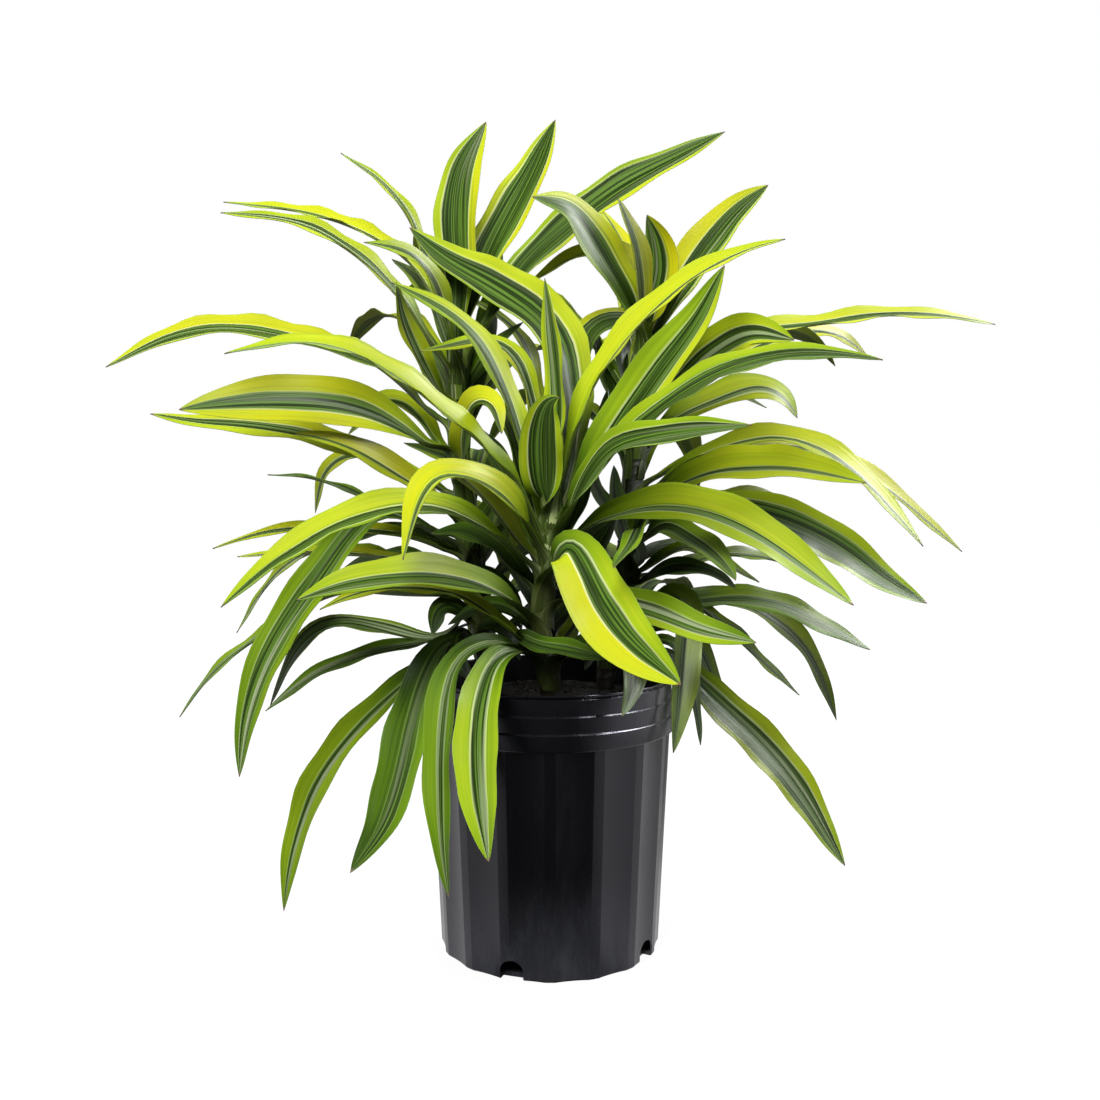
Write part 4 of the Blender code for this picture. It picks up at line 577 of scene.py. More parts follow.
# The leaves behind, which the front hides, go round each cane by the golden angle. One that finds no
# place clear of the others is left out.
GOLDEN_ANGLE_DEG = 137.5
BackRow = namedtuple("BackRow", "cane count heights azimuths_deg")
BACK_ROWS = (
    BackRow("left", 16, (0.275, 0.560), (52.0, 108.0)),
    BackRow("right", 16, (0.275, 0.550), (66.0, 130.0)),
    BackRow("front", 5, (0.30, 0.390), (78.0, 102.0)),
)
BACK_LENGTH = 0.40
BACK_WIDTH = 0.039
# How steeply the lowest and the highest of them leave the cane, and how steeply their tips point
BACK_RISE_DEG = (40.0, 63.0)
BACK_FALL_DEG = (-84.0, -24.0)
BACK_CURVE = 1.2
# How much each of them differs by a random draw
BACK_LENGTH_DRAW = (0.82, 1.08)
BACK_WIDTH_DRAW = (0.9, 1.1)
BACK_RISE_DRAW = 6.0
BACK_FALL_DRAW = 14.0
# How far a leaf behind turns round its cane for each metre by which it is bent clear
BACK_TURN = 1.5
# How yellow the margins of the lowest and the highest of them are, and how much that differs; how far
# their bands lie to a side, the bands' half widths, and how silvery they are, partly a painted sheen
BACK_YELLOW = (0.25, 0.85)
BACK_YELLOW_DRAW = 0.2
BACK_BAND_SIDE = 0.2
BACK_BAND_HALF = (0.32, 0.48)
BACK_SILVER_SHEEN = (0.1, 0.7)
RANDOM_SEED = 7
LOOK_SEED = 21

# How leaves are bent clear of each other
CLEAR_STEP = 0.010
CLEAR_TRIES = 16
CLEAR_SKIN = 0.0022
JOINED_SHARE = 0.24
# A triangle that no leaf touches, in place of a cane for its own leaves
FAR_BELOW = ([(0, 0, -9), (0, 1, -9), (1, 0, -9)], [(0, 1, 2)])


def appears_at(across, up, behind):
    """The point that lies `behind` the pot's middle plane and appears on it at (across, up)."""
    on_plane = Vector((across, 0.0, up))
    reach = (behind - STANDPOINT.y) / -STANDPOINT.y
    return STANDPOINT + (on_plane - STANDPOINT) * reach


def seen_at(point):
    """Where a point appears on the pot's middle plane, as (across, up)."""
    reach = point.y - STANDPOINT.y
    across = point.x * -STANDPOINT.y / reach
    return across, STANDPOINT.z + (point.z - STANDPOINT.z) * -STANDPOINT.y / reach


def spline_points(knots, count):
    """`count` points, evenly spaced, along a smooth curve through the knots."""
    ends = [knots[0] * 2 - knots[1]] + list(knots) + [knots[-1] * 2 - knots[-2]]
    fine = []
    for before, start, end, after in zip(ends, ends[1:], ends[2:], ends[3:]):
        span = max((end - start).length, SHORTEST_SPAN)
        leave = (end - before) * (span / max((end - before).length, SHORTEST_SPAN))
        arrive = (after - start) * (span / max((after - start).length, SHORTEST_SPAN))
        for step in range(SPLINE_STEPS):
            s = step / SPLINE_STEPS
            fine.append(
                start * (2 * s**3 - 3 * s**2 + 1)
                + leave * (s**3 - 2 * s**2 + s)
                + end * (3 * s**2 - 2 * s**3)
                + arrive * (s**3 - s**2)
            )
    fine.append(knots[-1].copy())
    return evenly_spaced(fine, count)


def evenly_spaced(points, count):
    """`count` points at equal distances along a polyline."""
    lengths = [0.0]
    for start, end in zip(points, points[1:]):
        lengths.append(lengths[-1] + (end - start).length)
    found = []
    piece = 0
    for i in range(count):
        target = lengths[-1] * i / (count - 1)
        while piece < len(points) - 2 and lengths[piece + 1] < target:
            piece += 1
        span = max(lengths[piece + 1] - lengths[piece], SHORTEST_SPAN)
        found.append(points[piece].lerp(points[piece + 1], min(1.0, (target - lengths[piece]) / span)))
    return found


def cane_point(cane, height):
    """The point on a cane's middle line at a height above the floor."""
    path = [Vector(p) for p in CANE_PATHS[cane]]
    for low, high in zip(path, path[1:]):
        if height <= high.z or high is path[-1]:
            return low.lerp(high, (height - low.z) / (high.z - low.z))


def clamped(value):
    return min(1.0, max(0.0, value))


def smooth_step(value):
    value = clamped(value)
    return value * value * (3 - 2 * value)


def between(ends, share):
    return ends[0] + (ends[1] - ends[0]) * share


def width_share(t, tip_share=TIP_SHARE):
    """How wide the blade is at t, from root 0 to tip 1, as a share of its greatest width."""
    if t < WIDEST_AT:
        return ROOT_SHARE + (1 - ROOT_SHARE) * math.sin(math.pi / 2 * t / WIDEST_AT) ** ROOT_CURVE
    u = (t - WIDEST_AT) / (1 - WIDEST_AT)
    return tip_share + (1 - tip_share) * (1 - u * u) ** TIP_CURVE


def front_leaf_line(leaf, shift):
    """The middle line of a listed leaf, with its tip moved `shift` further behind."""
    root = cane_point(leaf.cane, leaf.root * CM)
    places = [seen_at(root)] + [(x * CM, z * CM) for x, z in leaf.path]
    run = [0.0]
    for (x, z), (next_x, next_z) in zip(places, places[1:]):
        run.append(run[-1] + math.hypot(next_x - x, next_z - z))
    tip = leaf.depth * CM + shift
    depths = [root.y + (tip - root.y) * r / run[-1] for r in run]
    knots = [appears_at(*place, depth) for place, depth in zip(places, depths)]
    return spline_points(knots, BLADE_SAMPLES)


def back_leaf_line(root, azimuth, length, rise, fall):
    """The middle line of a leaf that rises from its root and arches over, given angles in radians."""
    away = around(azimuth)
    points = [root.copy()]
    step = length / (BLADE_SAMPLES - 1)
    for i in range(1, BLADE_SAMPLES):
        t = (i - 0.5) / (BLADE_SAMPLES - 1)
        slope = rise + (fall - rise) * t**BACK_CURVE
        points.append(points[-1] + (away * math.cos(slope) + UP * math.sin(slope)) * step)
    return points


def back_leaf_frames(root, azimuth, length, rise, fall):
    return blade_frames(back_leaf_line(root, azimuth, length, rise, fall), None)


def blade_frames(line, face):
    """(point, across, out) for each point of a middle line; `out` is square to the upper face."""
    flat = Vector((line[-1].x - line[0].x, line[-1].y - line[0].y, 0.0))
    away = flat.normalized() if flat.length > CANE_RADIUS * 2 else FORWARD
    side = UP.cross(away)
    frames = []
    for i, point in enumerate(line):
        along = (line[min(i + 1, len(line) - 1)] - line[max(i - 1, 0)]).normalized()
        across = (side - along * side.dot(along)).normalized()
        frames.append((point, along, across, along.cross(across)))
    turns = [0.0] * len(line)
    if face is not None:
        middle = frames[round(len(frames) * TURN_MIDDLE)]
        turns = [face_turn(place, face, middle) for place in frames]
    turned = []
    for i, (point, along, across, out) in enumerate(frames):
        share = smooth_step((i / (len(line) - 1) - TURN_FROM) / TURN_OVER)
        turn = Matrix.Rotation(turns[i] * share, 3, along)
        turned.append((point, turn @ across, turn @ out))
    return turned


def face_turn(place, face, middle):
    """The turn about the middle line that shows the blade to the front by `face`."""
    point, along, _, out = place
    seen = towards_viewer(point, along)
    square = along.cross(seen)
    middle_square = middle[1].cross(towards_viewer(middle[0], middle[1]))
    way = 1.0 if middle[3].dot(middle_square) >= 0 else -1.0
    wanted = seen * face + square * way * math.sqrt(1 - face * face)
    return math.atan2(out.cross(wanted).dot(along), out.dot(wanted))


def towards_viewer(point, along):
    """The way from a point of a middle line to the viewer, square to the line."""
    seen = STANDPOINT - point
    return (seen - along * seen.dot(along)).normalized()


def folded(t, half):
    """The angle by which a blade folds at t, and how far its middle sinks below its line."""
    fold = math.radians(between(FOLD_DEG, t))
    return fold, half * math.sin(fold) * MIDDLE_SINKS * smooth_step(t / SINKS_OVER)


def plain_blade(frames, width, segments, first=0.0):
    """Corners and triangles of the model's own blade with a skin round it, to test what it clears."""
    corners = []
    for ring in range(segments + 1):
        t = first + (1 - first) * ring / segments
        point, across, out = frames[round(t * (len(frames) - 1))]
        half = width * width_share(t) / 2
        fold, sinks = folded(t, half)
        for side in (-1, 0, 1):
            thick = (BLADE_EDGE if side else BLADE_MIDDLE) / 2 + CLEAR_SKIN
            lift = abs(side) * half * math.sin(fold) - sinks
            place = point + across * (side * half * math.cos(fold)) + out * lift
            corners += [place + out * thick, place - out * thick]
    triangles = []
    for a, b, c, d in blade_faces(segments, 2):
        triangles += [(a, b, c), (a, c, d)]
    return corners, triangles


def blade_faces(stations, columns):
    """Quads of a blade, whose corners come in pairs, upper and lower, across each station."""
    row = 2 * (columns + 1)
    last = 2 * columns
    end = stations * row
    faces = []
    for a in range(0, end, row):
        b = a + row
        for column in range(0, last, 2):
            faces.append((a + column, b + column, b + column + 2, a + column + 2))
            faces.append((a + column + 1, a + column + 3, b + column + 3, b + column + 1))
        faces.append((a, a + 1, b + 1, b))
        faces.append((a + last, b + last, b + last + 1, a + last + 1))
    for column in range(0, last, 2):
        faces.append((column, column + 2, column + 3, column + 1))
        faces.append((end + column, end + column + 1, end + column + 3, end + column + 2))
    return faces


def tree_of(corners, faces):
    return BVHTree.FromPolygons([tuple(corner) for corner in corners], faces)


def node_tree_of(name):
    """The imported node's own surface, to keep leaves clear of it."""
    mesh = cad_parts[name].data
    return tree_of([v.co for v in mesh.vertices], [tuple(p.vertices) for p in mesh.polygons])


def around(angle, radius=1.0, z=0.0):
    """The point at an angle and a distance round the upright axis."""
    return Vector((radius * math.cos(angle), radius * math.sin(angle), z))


def round_ring(radius, z, sides):
    return [around(2 * math.pi * side / sides, radius, z) for side in range(sides)]


def tube_mesh(rings):
    """Corners and faces of a closed tube through rings of corners."""
    corners = [corner for ring in rings for corner in ring]
    sides = len(rings[0])
    faces = [tuple(reversed(range(sides)))]
    for low in range(0, len(corners) - sides, sides):
        for side in range(sides):
            after = (side + 1) % sides
            faces.append((low + side, low + after, low + sides + after, low + sides + side))
    faces.append(tuple(range(len(corners) - sides, len(corners))))
    return corners, faces


def plain_cane(cane):
    """The model's own cane, to keep other canes' leaves clear of it."""
    path = [Vector(p) for p in CANE_PATHS[cane]]
    line = [path[0]] + spline_points(path[1:], PLAIN_CANE_RINGS)
    shares = [1.0] * (len(line) - len(PLAIN_CANE_TOP)) + list(PLAIN_CANE_TOP)
    rings = []
    for point, share in zip(line, shares):
        rings.append([corner + point for corner in round_ring(CANE_RADIUS * share, 0.0, PLAIN_CANE_SIDES)])
    return tube_mesh(rings)


def settle(make_frames, cane, width, segments, first_way, placed):
    """The frames of a leaf, bent as little as clears it of the leaves already placed, and whether
    it is clear. It is bent one way first, and then the other."""
    best = None
    shifts = [CLEAR_STEP * step * first_way for step in range(CLEAR_TRIES)]
    shifts += [-shift for shift in shifts[1:]]
    for shift in shifts:
        frames = make_frames(shift)
        whole = tree_of(*plain_blade(frames, width, segments))
        outer = tree_of(*plain_blade(frames, width, segments, JOINED_SHARE))
        count = 0
        for other_cane, other_whole, other_outer in placed:
            if other_cane == cane:
                count += len(outer.overlap(other_outer))
            else:
                count += len(whole.overlap(other_whole))
        if best is None or count < best[0]:
            best = (count, frames, whole, outer)
        if count == 0:
            break
    placed.append((cane, best[2], best[3]))
    return best[1], best[0] == 0


def length_of(frames):
    return sum((b[0] - a[0]).length for a, b in zip(frames, frames[1:]))


def segments_for(frames):
    """How many lengths the model's blade is made of: more for a longer one."""
    count = round(length_of(frames) / BLADE_SEGMENT_LENGTH)
    return min(BLADE_MOST_SEGMENTS, max(BLADE_LEAST_SEGMENTS, count))


def all_leaves():
    """(cane, frames, width, colours) of every leaf, placed and bent as in the model."""
    placed = [("pot", node_tree_of("pot"), None), ("pot", node_tree_of("soil"), None)]
    for cane in CANE_PATHS:
        placed.append((cane, tree_of(*plain_cane(cane)), tree_of(*FAR_BELOW)))
    return listed_leaves(placed) + leaves_behind(placed)


def listed_leaves(placed):
    leaves = []
    for leaf in LEAVES:
        width = leaf.width * CM
        root_depth = cane_point(leaf.cane, leaf.root * CM).y
        first_way = 1 if leaf.depth * CM > root_depth else -1
        segments = segments_for(blade_frames(front_leaf_line(leaf, 0.0), None))
        frames, _ = settle(
            lambda shift: blade_frames(front_leaf_line(leaf, shift), leaf.face),
            leaf.cane, width, segments, first_way, placed,
        )
        leaves.append((leaf.cane, frames, width, leaf[6:]))
    return leaves


def leaves_behind(placed):
    leaves = []
    draw = random.Random(RANDOM_SEED)
    look_draw = random.Random(LOOK_SEED)
    for row in BACK_ROWS:
        for i in range(row.count):
            share = i / (row.count - 1)
            turn = (i * GOLDEN_ANGLE_DEG / 360.0) % 1.0
            azimuth = math.radians(between(row.azimuths_deg, turn))
            length = BACK_LENGTH * draw.uniform(*BACK_LENGTH_DRAW)
            width = BACK_WIDTH * draw.uniform(*BACK_WIDTH_DRAW)
            differs = draw.uniform(-BACK_RISE_DRAW, BACK_RISE_DRAW)
            rise = math.radians(between(BACK_RISE_DEG, share) + differs)
            differs = draw.uniform(-BACK_FALL_DRAW, BACK_FALL_DRAW)
            fall = math.radians(between(BACK_FALL_DEG, share) + differs)
            root = cane_point(row.cane, between(row.heights, share))
            frames, clear = settle(
                lambda shift: back_leaf_frames(root, azimuth + shift * BACK_TURN, length, rise, fall),
                row.cane, width, round(length / BLADE_SEGMENT_LENGTH), 1, placed,
            )
            colours = drawn_colours(look_draw, share)
            if clear:
                leaves.append((row.cane, frames, width, colours))
            else:
                placed.pop()
    return leaves


def drawn_colours(draw, share):
    """(right, left, low, high, silver) for a leaf behind; the higher it sits, the yellower it is."""
    yellow = between(BACK_YELLOW, share)
    right = clamped(yellow + draw.uniform(-BACK_YELLOW_DRAW, BACK_YELLOW_DRAW))
    left = clamped(yellow + draw.uniform(-BACK_YELLOW_DRAW, BACK_YELLOW_DRAW))
    middle = draw.uniform(-BACK_BAND_SIDE, BACK_BAND_SIDE)
    half = draw.uniform(*BACK_BAND_HALF)
    return right, left, middle - half, middle + half, draw.uniform(*BACK_SILVER_SHEEN)


def eased(frames):
    """The frames with small jogs between neighbours smoothed out, its two ends kept."""
    for _ in range(EASE_PASSES):
        inner = []
        for before, here, after in zip(frames, frames[1:], frames[2:]):
            point = before[0] * 0.25 + here[0] * 0.5 + after[0] * 0.25
            across = (before[1] + here[1] * 2 + after[1]).normalized()
            out = (before[2] + here[2] * 2 + after[2]).normalized()
            inner.append((point, across, out))
        frames = [frames[0]] + inner + [frames[-1]]
    return frames


def fine_stations(frames):
    """(t, point, across, out) at the fine blade's stations, which crowd towards its root and tip."""
    frames = eased(frames)
    stations = []
    for i in range(FINE_STATIONS + 1):
        u = i / FINE_STATIONS
        t = u - END_CROWDING * math.sin(2 * math.pi * u) / (2 * math.pi)
        place = t * (len(frames) - 1)
        low = min(int(place), len(frames) - 2)
        share = place - low
        a, b = frames[low], frames[low + 1]
        stations.append((
            t,
            a[0].lerp(b[0], share),
            a[1].lerp(b[1], share).normalized(),
            a[2].lerp(b[2], share).normalized(),
        ))
    return stations


def base_look(cane, root, shaded):
    """How pale the base of a leaf is, and how dark the painted shade on it is."""
    pale = 1.0 if cane == "front" and root.z > PALE_FROM and not shaded else PALE_TRACE
    higher = (root.z - PAINTED_SHADE_HEIGHTS[0]) / (PAINTED_SHADE_HEIGHTS[1] - PAINTED_SHADE_HEIGHTS[0])
    return pale, 1 - (1 - LEAST_PAINTED_SHADE) * smooth_step(higher)


def fine_blade(cane, frames, width, colours, draw):
    """Corners, faces and colour values of a smooth, waved blade whose base clasps its cane."""
    length = length_of(frames)
    right, left, low, high, silver_sheen = colours
    seed = draw.uniform(0.0, LEAF_SEEDS)
    waves = [(draw.uniform(*WAVE_LENGTHS), draw.uniform(0, 2 * math.pi)) for _ in range(2)]
    root = frames[0][0]
    # How pale its base is, and how dark the painted shade on its base is
    pale, painted_shade = base_look(cane, root, right < SHADED_YELLOW)
    away = frames[0][1].cross(UP)
    azimuth = math.atan2(away.y, away.x)
    skin = draw.uniform(*CLASP_SKIN)
    corners = []
    values = {name: [] for name in LEAF_VALUES}
    for t, point, across, out in fine_stations(frames):
        run = t * length
        half = max(width * width_share(t, 0.0) / 2, FINE_EDGE / 2)
        fold, sinks = folded(t, half)
        swell = WAVE_HEIGHT * math.sin(math.pi * t)
        free = smooth_step((run - CLASP_FROM) / CLASP_OVER)
        for column in range(FINE_COLUMNS + 1):
            s = 2 * column / FINE_COLUMNS - 1
            wave_length, phase = waves[0 if s < 0 else 1]
            lift = half * math.sin(fold) * abs(s) ** FOLD_CURVE - sinks
            lift += swell * s * s * math.sin(2 * math.pi * run / wave_length + phase)
            lift -= GROOVE_DEPTH * math.exp(-((s / GROOVE_WIDTH) ** 2)) * (1 - t)
            place = point + across * (s * half * math.cos(fold)) + out * lift
            outward = out
            if free < 1:
                facing = around(azimuth + math.radians(CLASP_HALF_DEG) * s)
                axis = cane_point(cane, root.z - CLASP_DROP + run)
                clasp = axis + facing * (CANE_RADIUS + skin + CLASP_FLARE * run)
                place = clasp.lerp(place, free)
                outward = (facing * -1).lerp(out, free).normalized()
            thick = (BLADE_MIDDLE + (FINE_EDGE - BLADE_MIDDLE) * abs(s)) / 2
            corners += [place + outward * thick, place - outward * thick]
            values["blade"] += [(s, run, 1.0), (s, run, 0.0)]
        station_corners = 2 * (FINE_COLUMNS + 1)
        values["band"] += [(*band_edges(t, low, high), seed)] * station_corners
        values["tone"] += [(right, left, silver_sheen)] * station_corners
        values["tip"] += [(t, pale, painted_shade)] * station_corners
    return corners, blade_faces(FINE_STATIONS, FINE_COLUMNS), values


def band_edges(t, low, high):
    """Where a leaf's band starts and ends at t: it widens towards the base."""
    widens = 1 - smooth_step(t / BAND_WIDENS_OVER)
    low += (-BASE_BAND - low) * widens * BASE_BAND_SHARE
    high += (BASE_BAND - high) * widens * BASE_BAND_SHARE
    return low, high


def new_object(name, corners, faces):
    mesh = bpy.data.meshes.new(name)
    mesh.from_pydata([tuple(corner) for corner in corners], [], faces)
    made = bpy.data.objects.new(name, mesh)
    bpy.context.scene.collection.objects.link(made)
    return made


def shade(made, angle_deg):
    made.data.shade_smooth()
    made.data.set_sharp_from_angle(angle=math.radians(angle_deg))


def dress(made, material, node):
    """Gives a piece its material and its body, and hides the model's node that it stands for."""
    made.data.materials.append(material)
    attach(made, "root")
    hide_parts(node)


def add_values(made, name, values):
    layer = made.data.attributes.new(name, "FLOAT_VECTOR", "POINT")
    layer.data.foreach_set("vector", [part for value in values for part in value])


def make_leaves(cane, leaves, material):
    """One piece of all the leaves of a cane."""
    draw = random.Random(LOOK_SEED + len(cane))
    corners, faces = [], []
    values = {name: [] for name in LEAF_VALUES}
    for leaf_cane, frames, width, colours in leaves:
        if leaf_cane != cane:
            continue
        its_corners, its_faces, its_values = fine_blade(cane, frames, width, colours, draw)
        faces += [tuple(corner + len(corners) for corner in face) for face in its_faces]
        corners += its_corners
        for name in LEAF_VALUES:
            values[name] += its_values[name]
    made = new_object("leaves_" + cane, corners, faces)
    for name in LEAF_VALUES:
        add_values(made, name, values[name])
    shade(made, LEAF_SHARP_DEG)
    dress(made, material, "leafy_cane_" + cane)


def cane_noise(corner, z, cells):
    """Noise on a cane's skin: its cells across the cane's radius and up a metre of it."""
    return noise.noise(Vector((corner.x * cells[0], corner.y * cells[0], z * cells[1])))


def make_cane(cane, material):
    """A stem with the low rings that fallen leaves left on it, and a tapered top."""
    path = [Vector(p) for p in CANE_PATHS[cane]]
    line = [path[0]] + spline_points(path[1:], round((path[-1].z - path[1].z) / CANE_RING_STEP))
    rings = []
    for point in line:
        share = min(1.0, (path[-1].z - point.z) / CANE_TOP_TAPER + CANE_TOP_SHARE)
        ring = []
        for corner in round_ring(1.0, 0.0, CANE_SIDES):
            wander = SCAR_WANDER * cane_noise(corner, point.z, SCAR_WANDER_CELLS)
            phase = (point.z + wander) / SCAR_STEP % 1.0
            scar = SCAR_HEIGHT * math.exp(-((phase - 0.5) / SCAR_WIDTH) ** 2)
            grain = CANE_GRAIN * cane_noise(corner, point.z, CANE_GRAIN_CELLS)
            ring.append(point + corner * (CANE_RADIUS * share - SCAR_HEIGHT * 0.5 + scar + grain))
        rings.append(ring)
    made = new_object("cane_" + cane, *tube_mesh(rings))
    shade(made, CANE_SHARP_DEG)
    dress(made, material, "leafy_cane_" + cane)


def softened(profile):
    """The profile with each inner corner rounded off, its ends kept."""
    points = [profile[0]]
    for before, corner, after in zip(profile, profile[1:], profile[2:]):
        ends = []
        for other in (before, after):
            way = Vector(other[:2]) - Vector(corner[:2])
            reach = min(EDGE_ROUND, way.length * EDGE_ROUND_SHARE)
            ends.append(Vector(corner[:2]) + way.normalized() * reach)
        for step in range(EDGE_STEPS + 1):
            s = step / EDGE_STEPS
            middle = Vector(corner[:2])
            place = ends[0] * (1 - s) ** 2 + middle * (2 * s * (1 - s)) + ends[1] * s * s
            points.append((place.x, place.y, corner[2]))
    points.append(profile[-1])
    return points


def inner_radius(z):
    """The inside of the pot's wall at a height."""
    return between(BODY_RADII, min(1.0, z / POT_NECK_Z)) - POT_WALL


def pot_angles():
    """(angle, how far into a facet from -1 to 1, or None on a corner strip) round the pot."""
    step = 360.0 / FACETS
    strip = CORNER_STRIP_DEG / 2
    angles = []
    for facet in range(FACETS):
        corner = facet * step - 90.0
        angles += [(corner - strip, None), (corner, None)]
        for part in range(FLUTE_STEPS):
            share = 2 * part / FLUTE_STEPS - 1
            angles.append((corner + strip + (step - 2 * strip) * part / FLUTE_STEPS, share))
    return [(math.radians(angle), share) for angle, share in angles]


def pot_ring(radius, z, hollow, angles):
    """A ring of the pot: round, or with its facets flat and a little hollow where hollow is above 0."""
    half_facet = math.radians(360.0 / FACETS - CORNER_STRIP_DEG) / 2
    ring = []
    for angle, share in angles:
        r = radius
        if share is not None and hollow > 0:
            chord = radius * math.cos(half_facet) / math.cos(half_facet * share)
            flat = min(1.0, hollow * FLAT_BY_HOLLOW)
            r = radius + (chord - FLUTE_DEPTH * hollow * (1 - share * share) - radius) * flat
        ring.append(around(angle, r, z))
    return ring


def make_pot(material):
    """The pot: fluted body, banded rim, lip and the inside down to its floor, with its drain notches."""
    angles = pot_angles()
    outside = [(CENTRE_RING_RADIUS, 0.0, 0.0), (POT_BASE_RADIUS - POT_FOOT_BEVEL, 0.0, 1.0)]
    outside.append((POT_BASE_RADIUS, POT_FOOT_BEVEL, 1.0))
    for row in range(1, BODY_ROWS):
        share = row / BODY_ROWS
        z = between((POT_FOOT_BEVEL, POT_NECK_Z), share)
        outside.append((between(BODY_RADII, share), z, 1.0))
    outside.append((POT_NECK_RADIUS, POT_NECK_Z, 1.0))
    inside_top = POT_NECK_Z + ROUND_INSIDE_FROM
    rim = [(POT_NECK_RADIUS, POT_NECK_Z, 1.0)] + [(radius, z, 0.0) for radius, z in RIM_EDGES]
    rim.append((inner_radius(inside_top), inside_top, 0.0))
    inside = [(inner_radius(inside_top) - INSIDE_STEP, POT_NECK_Z, INSIDE_HOLLOW)]
    inside.append((inner_radius(POT_FLOOR), POT_FLOOR, INSIDE_HOLLOW))
    inside.append((CENTRE_RING_RADIUS, POT_FLOOR, 0.0))
    profile = outside + softened(rim)[1:] + inside
    rings = [pot_ring(radius, z, hollow, angles) for radius, z, hollow in profile]
    pot = new_object("pot_shell", *tube_mesh(rings))
    crease_corners(pot, len(angles), len(outside))
    for azimuth in NOTCH_AZIMUTHS_DEG:
        cut_notch(pot, azimuth)
    dress(pot, material, "pot")


def crease_corners(pot, columns, rows):
    """Smooth all over but for the corner strips' edges and the steps of the profile."""
    shade(pot, POT_SHARP_DEG)
    shell = bmesh.new()
    shell.from_mesh(pot.data)
    shell.verts.ensure_lookup_table()
    per_facet = FLUTE_STEPS + 2
    for row in range(rows - 1):
        for facet in range(FACETS):
            # The first and the third column of a facet are the edges of its corner strip.
            for column in (0, 2):
                place = facet * per_facet + column
                low = shell.verts[row * columns + place]
                high = shell.verts[(row + 1) * columns + place]
                edge = shell.edges.get((low, high))
                edge.smooth = False
    shell.to_mesh(pot.data)
    shell.free()


def cut_notch(pot, azimuth_deg):
    """Cuts a drain notch with a round top through the wall at the pot's foot."""
    half = NOTCH_WIDTH / 2
    outline = [(-half, -CUT_PAST), (half, -CUT_PAST), (half, NOTCH_HEIGHT - half)]
    for step in range(1, NOTCH_ROUND_STEPS):
        angle = math.pi * step / NOTCH_ROUND_STEPS
        outline.append((half * math.cos(angle), NOTCH_HEIGHT - half + half * math.sin(angle)))
    outline.append((-half, NOTCH_HEIGHT - half))
    turn = Matrix.Rotation(math.radians(azimuth_deg), 3, "Z")
    rings = []
    for distance in (POT_BASE_RADIUS - CUT_PAST, POT_BASE_RADIUS + CUT_PAST):
        rings.append([turn @ Vector((x, -distance, z)) for x, z in outline])
    cutter = new_object("notch_cutter", *tube_mesh(rings))
    cut = pot.modifiers.new("notch", "BOOLEAN")
    cut.operation = "DIFFERENCE"
    cut.object = cutter
    cut.solver = "EXACT"
    bpy.context.view_layer.update()
    graph = bpy.context.evaluated_depsgraph_get()
    mesh = bpy.data.meshes.new_from_object(pot.evaluated_get(graph))
    pot.modifiers.clear()
    pot.data = mesh
    bpy.data.objects.remove(cutter)


def soil_height(x, y):
    """The uneven top of the soil."""
    share = math.hypot(x, y) / (inner_radius(SOIL_TOP) - FIT_GAP)
    lumps = 0.0
    for cells, seed, strength in SOIL_LUMPS:
        lumps += strength * noise.noise(Vector((x * cells, y * cells, seed)))
    mound = (SOIL_MOUND + SOIL_EDGE_DROP) * (1 - share * share)
    return SOIL_TOP - SOIL_EDGE_DROP + mound + SOIL_ROUGHNESS * lumps


def make_soil(material):
    """The potting mix down to the pot's floor, with an uneven top."""
    foot = POT_FLOOR + FIT_GAP
    rings = [round_ring(radius, foot, SOIL_SIDES) for radius in (CENTRE_RING_RADIUS, SOIL_FOOT_RADIUS)]
    for z in (SOIL_SIDE_FROM, POT_NECK_Z / 2, POT_NECK_Z):
        rings.append(round_ring(inner_radius(z) * SOIL_SIDE_SHARE - FIT_GAP, z, SOIL_SIDES))
    outer = inner_radius(SOIL_TOP) - FIT_GAP
    for i in range(SOIL_TOP_RINGS):
        ring = round_ring(outer * (1 - i / SOIL_TOP_RINGS), 0.0, SOIL_SIDES)
        for corner in ring:
            corner.z = soil_height(corner.x, corner.y)
        rings.append(ring)
    soil = new_object("potting_mix", *tube_mesh(rings))
    shade(soil, SOIL_SHARP_DEG)
    dress(soil, material, "soil")


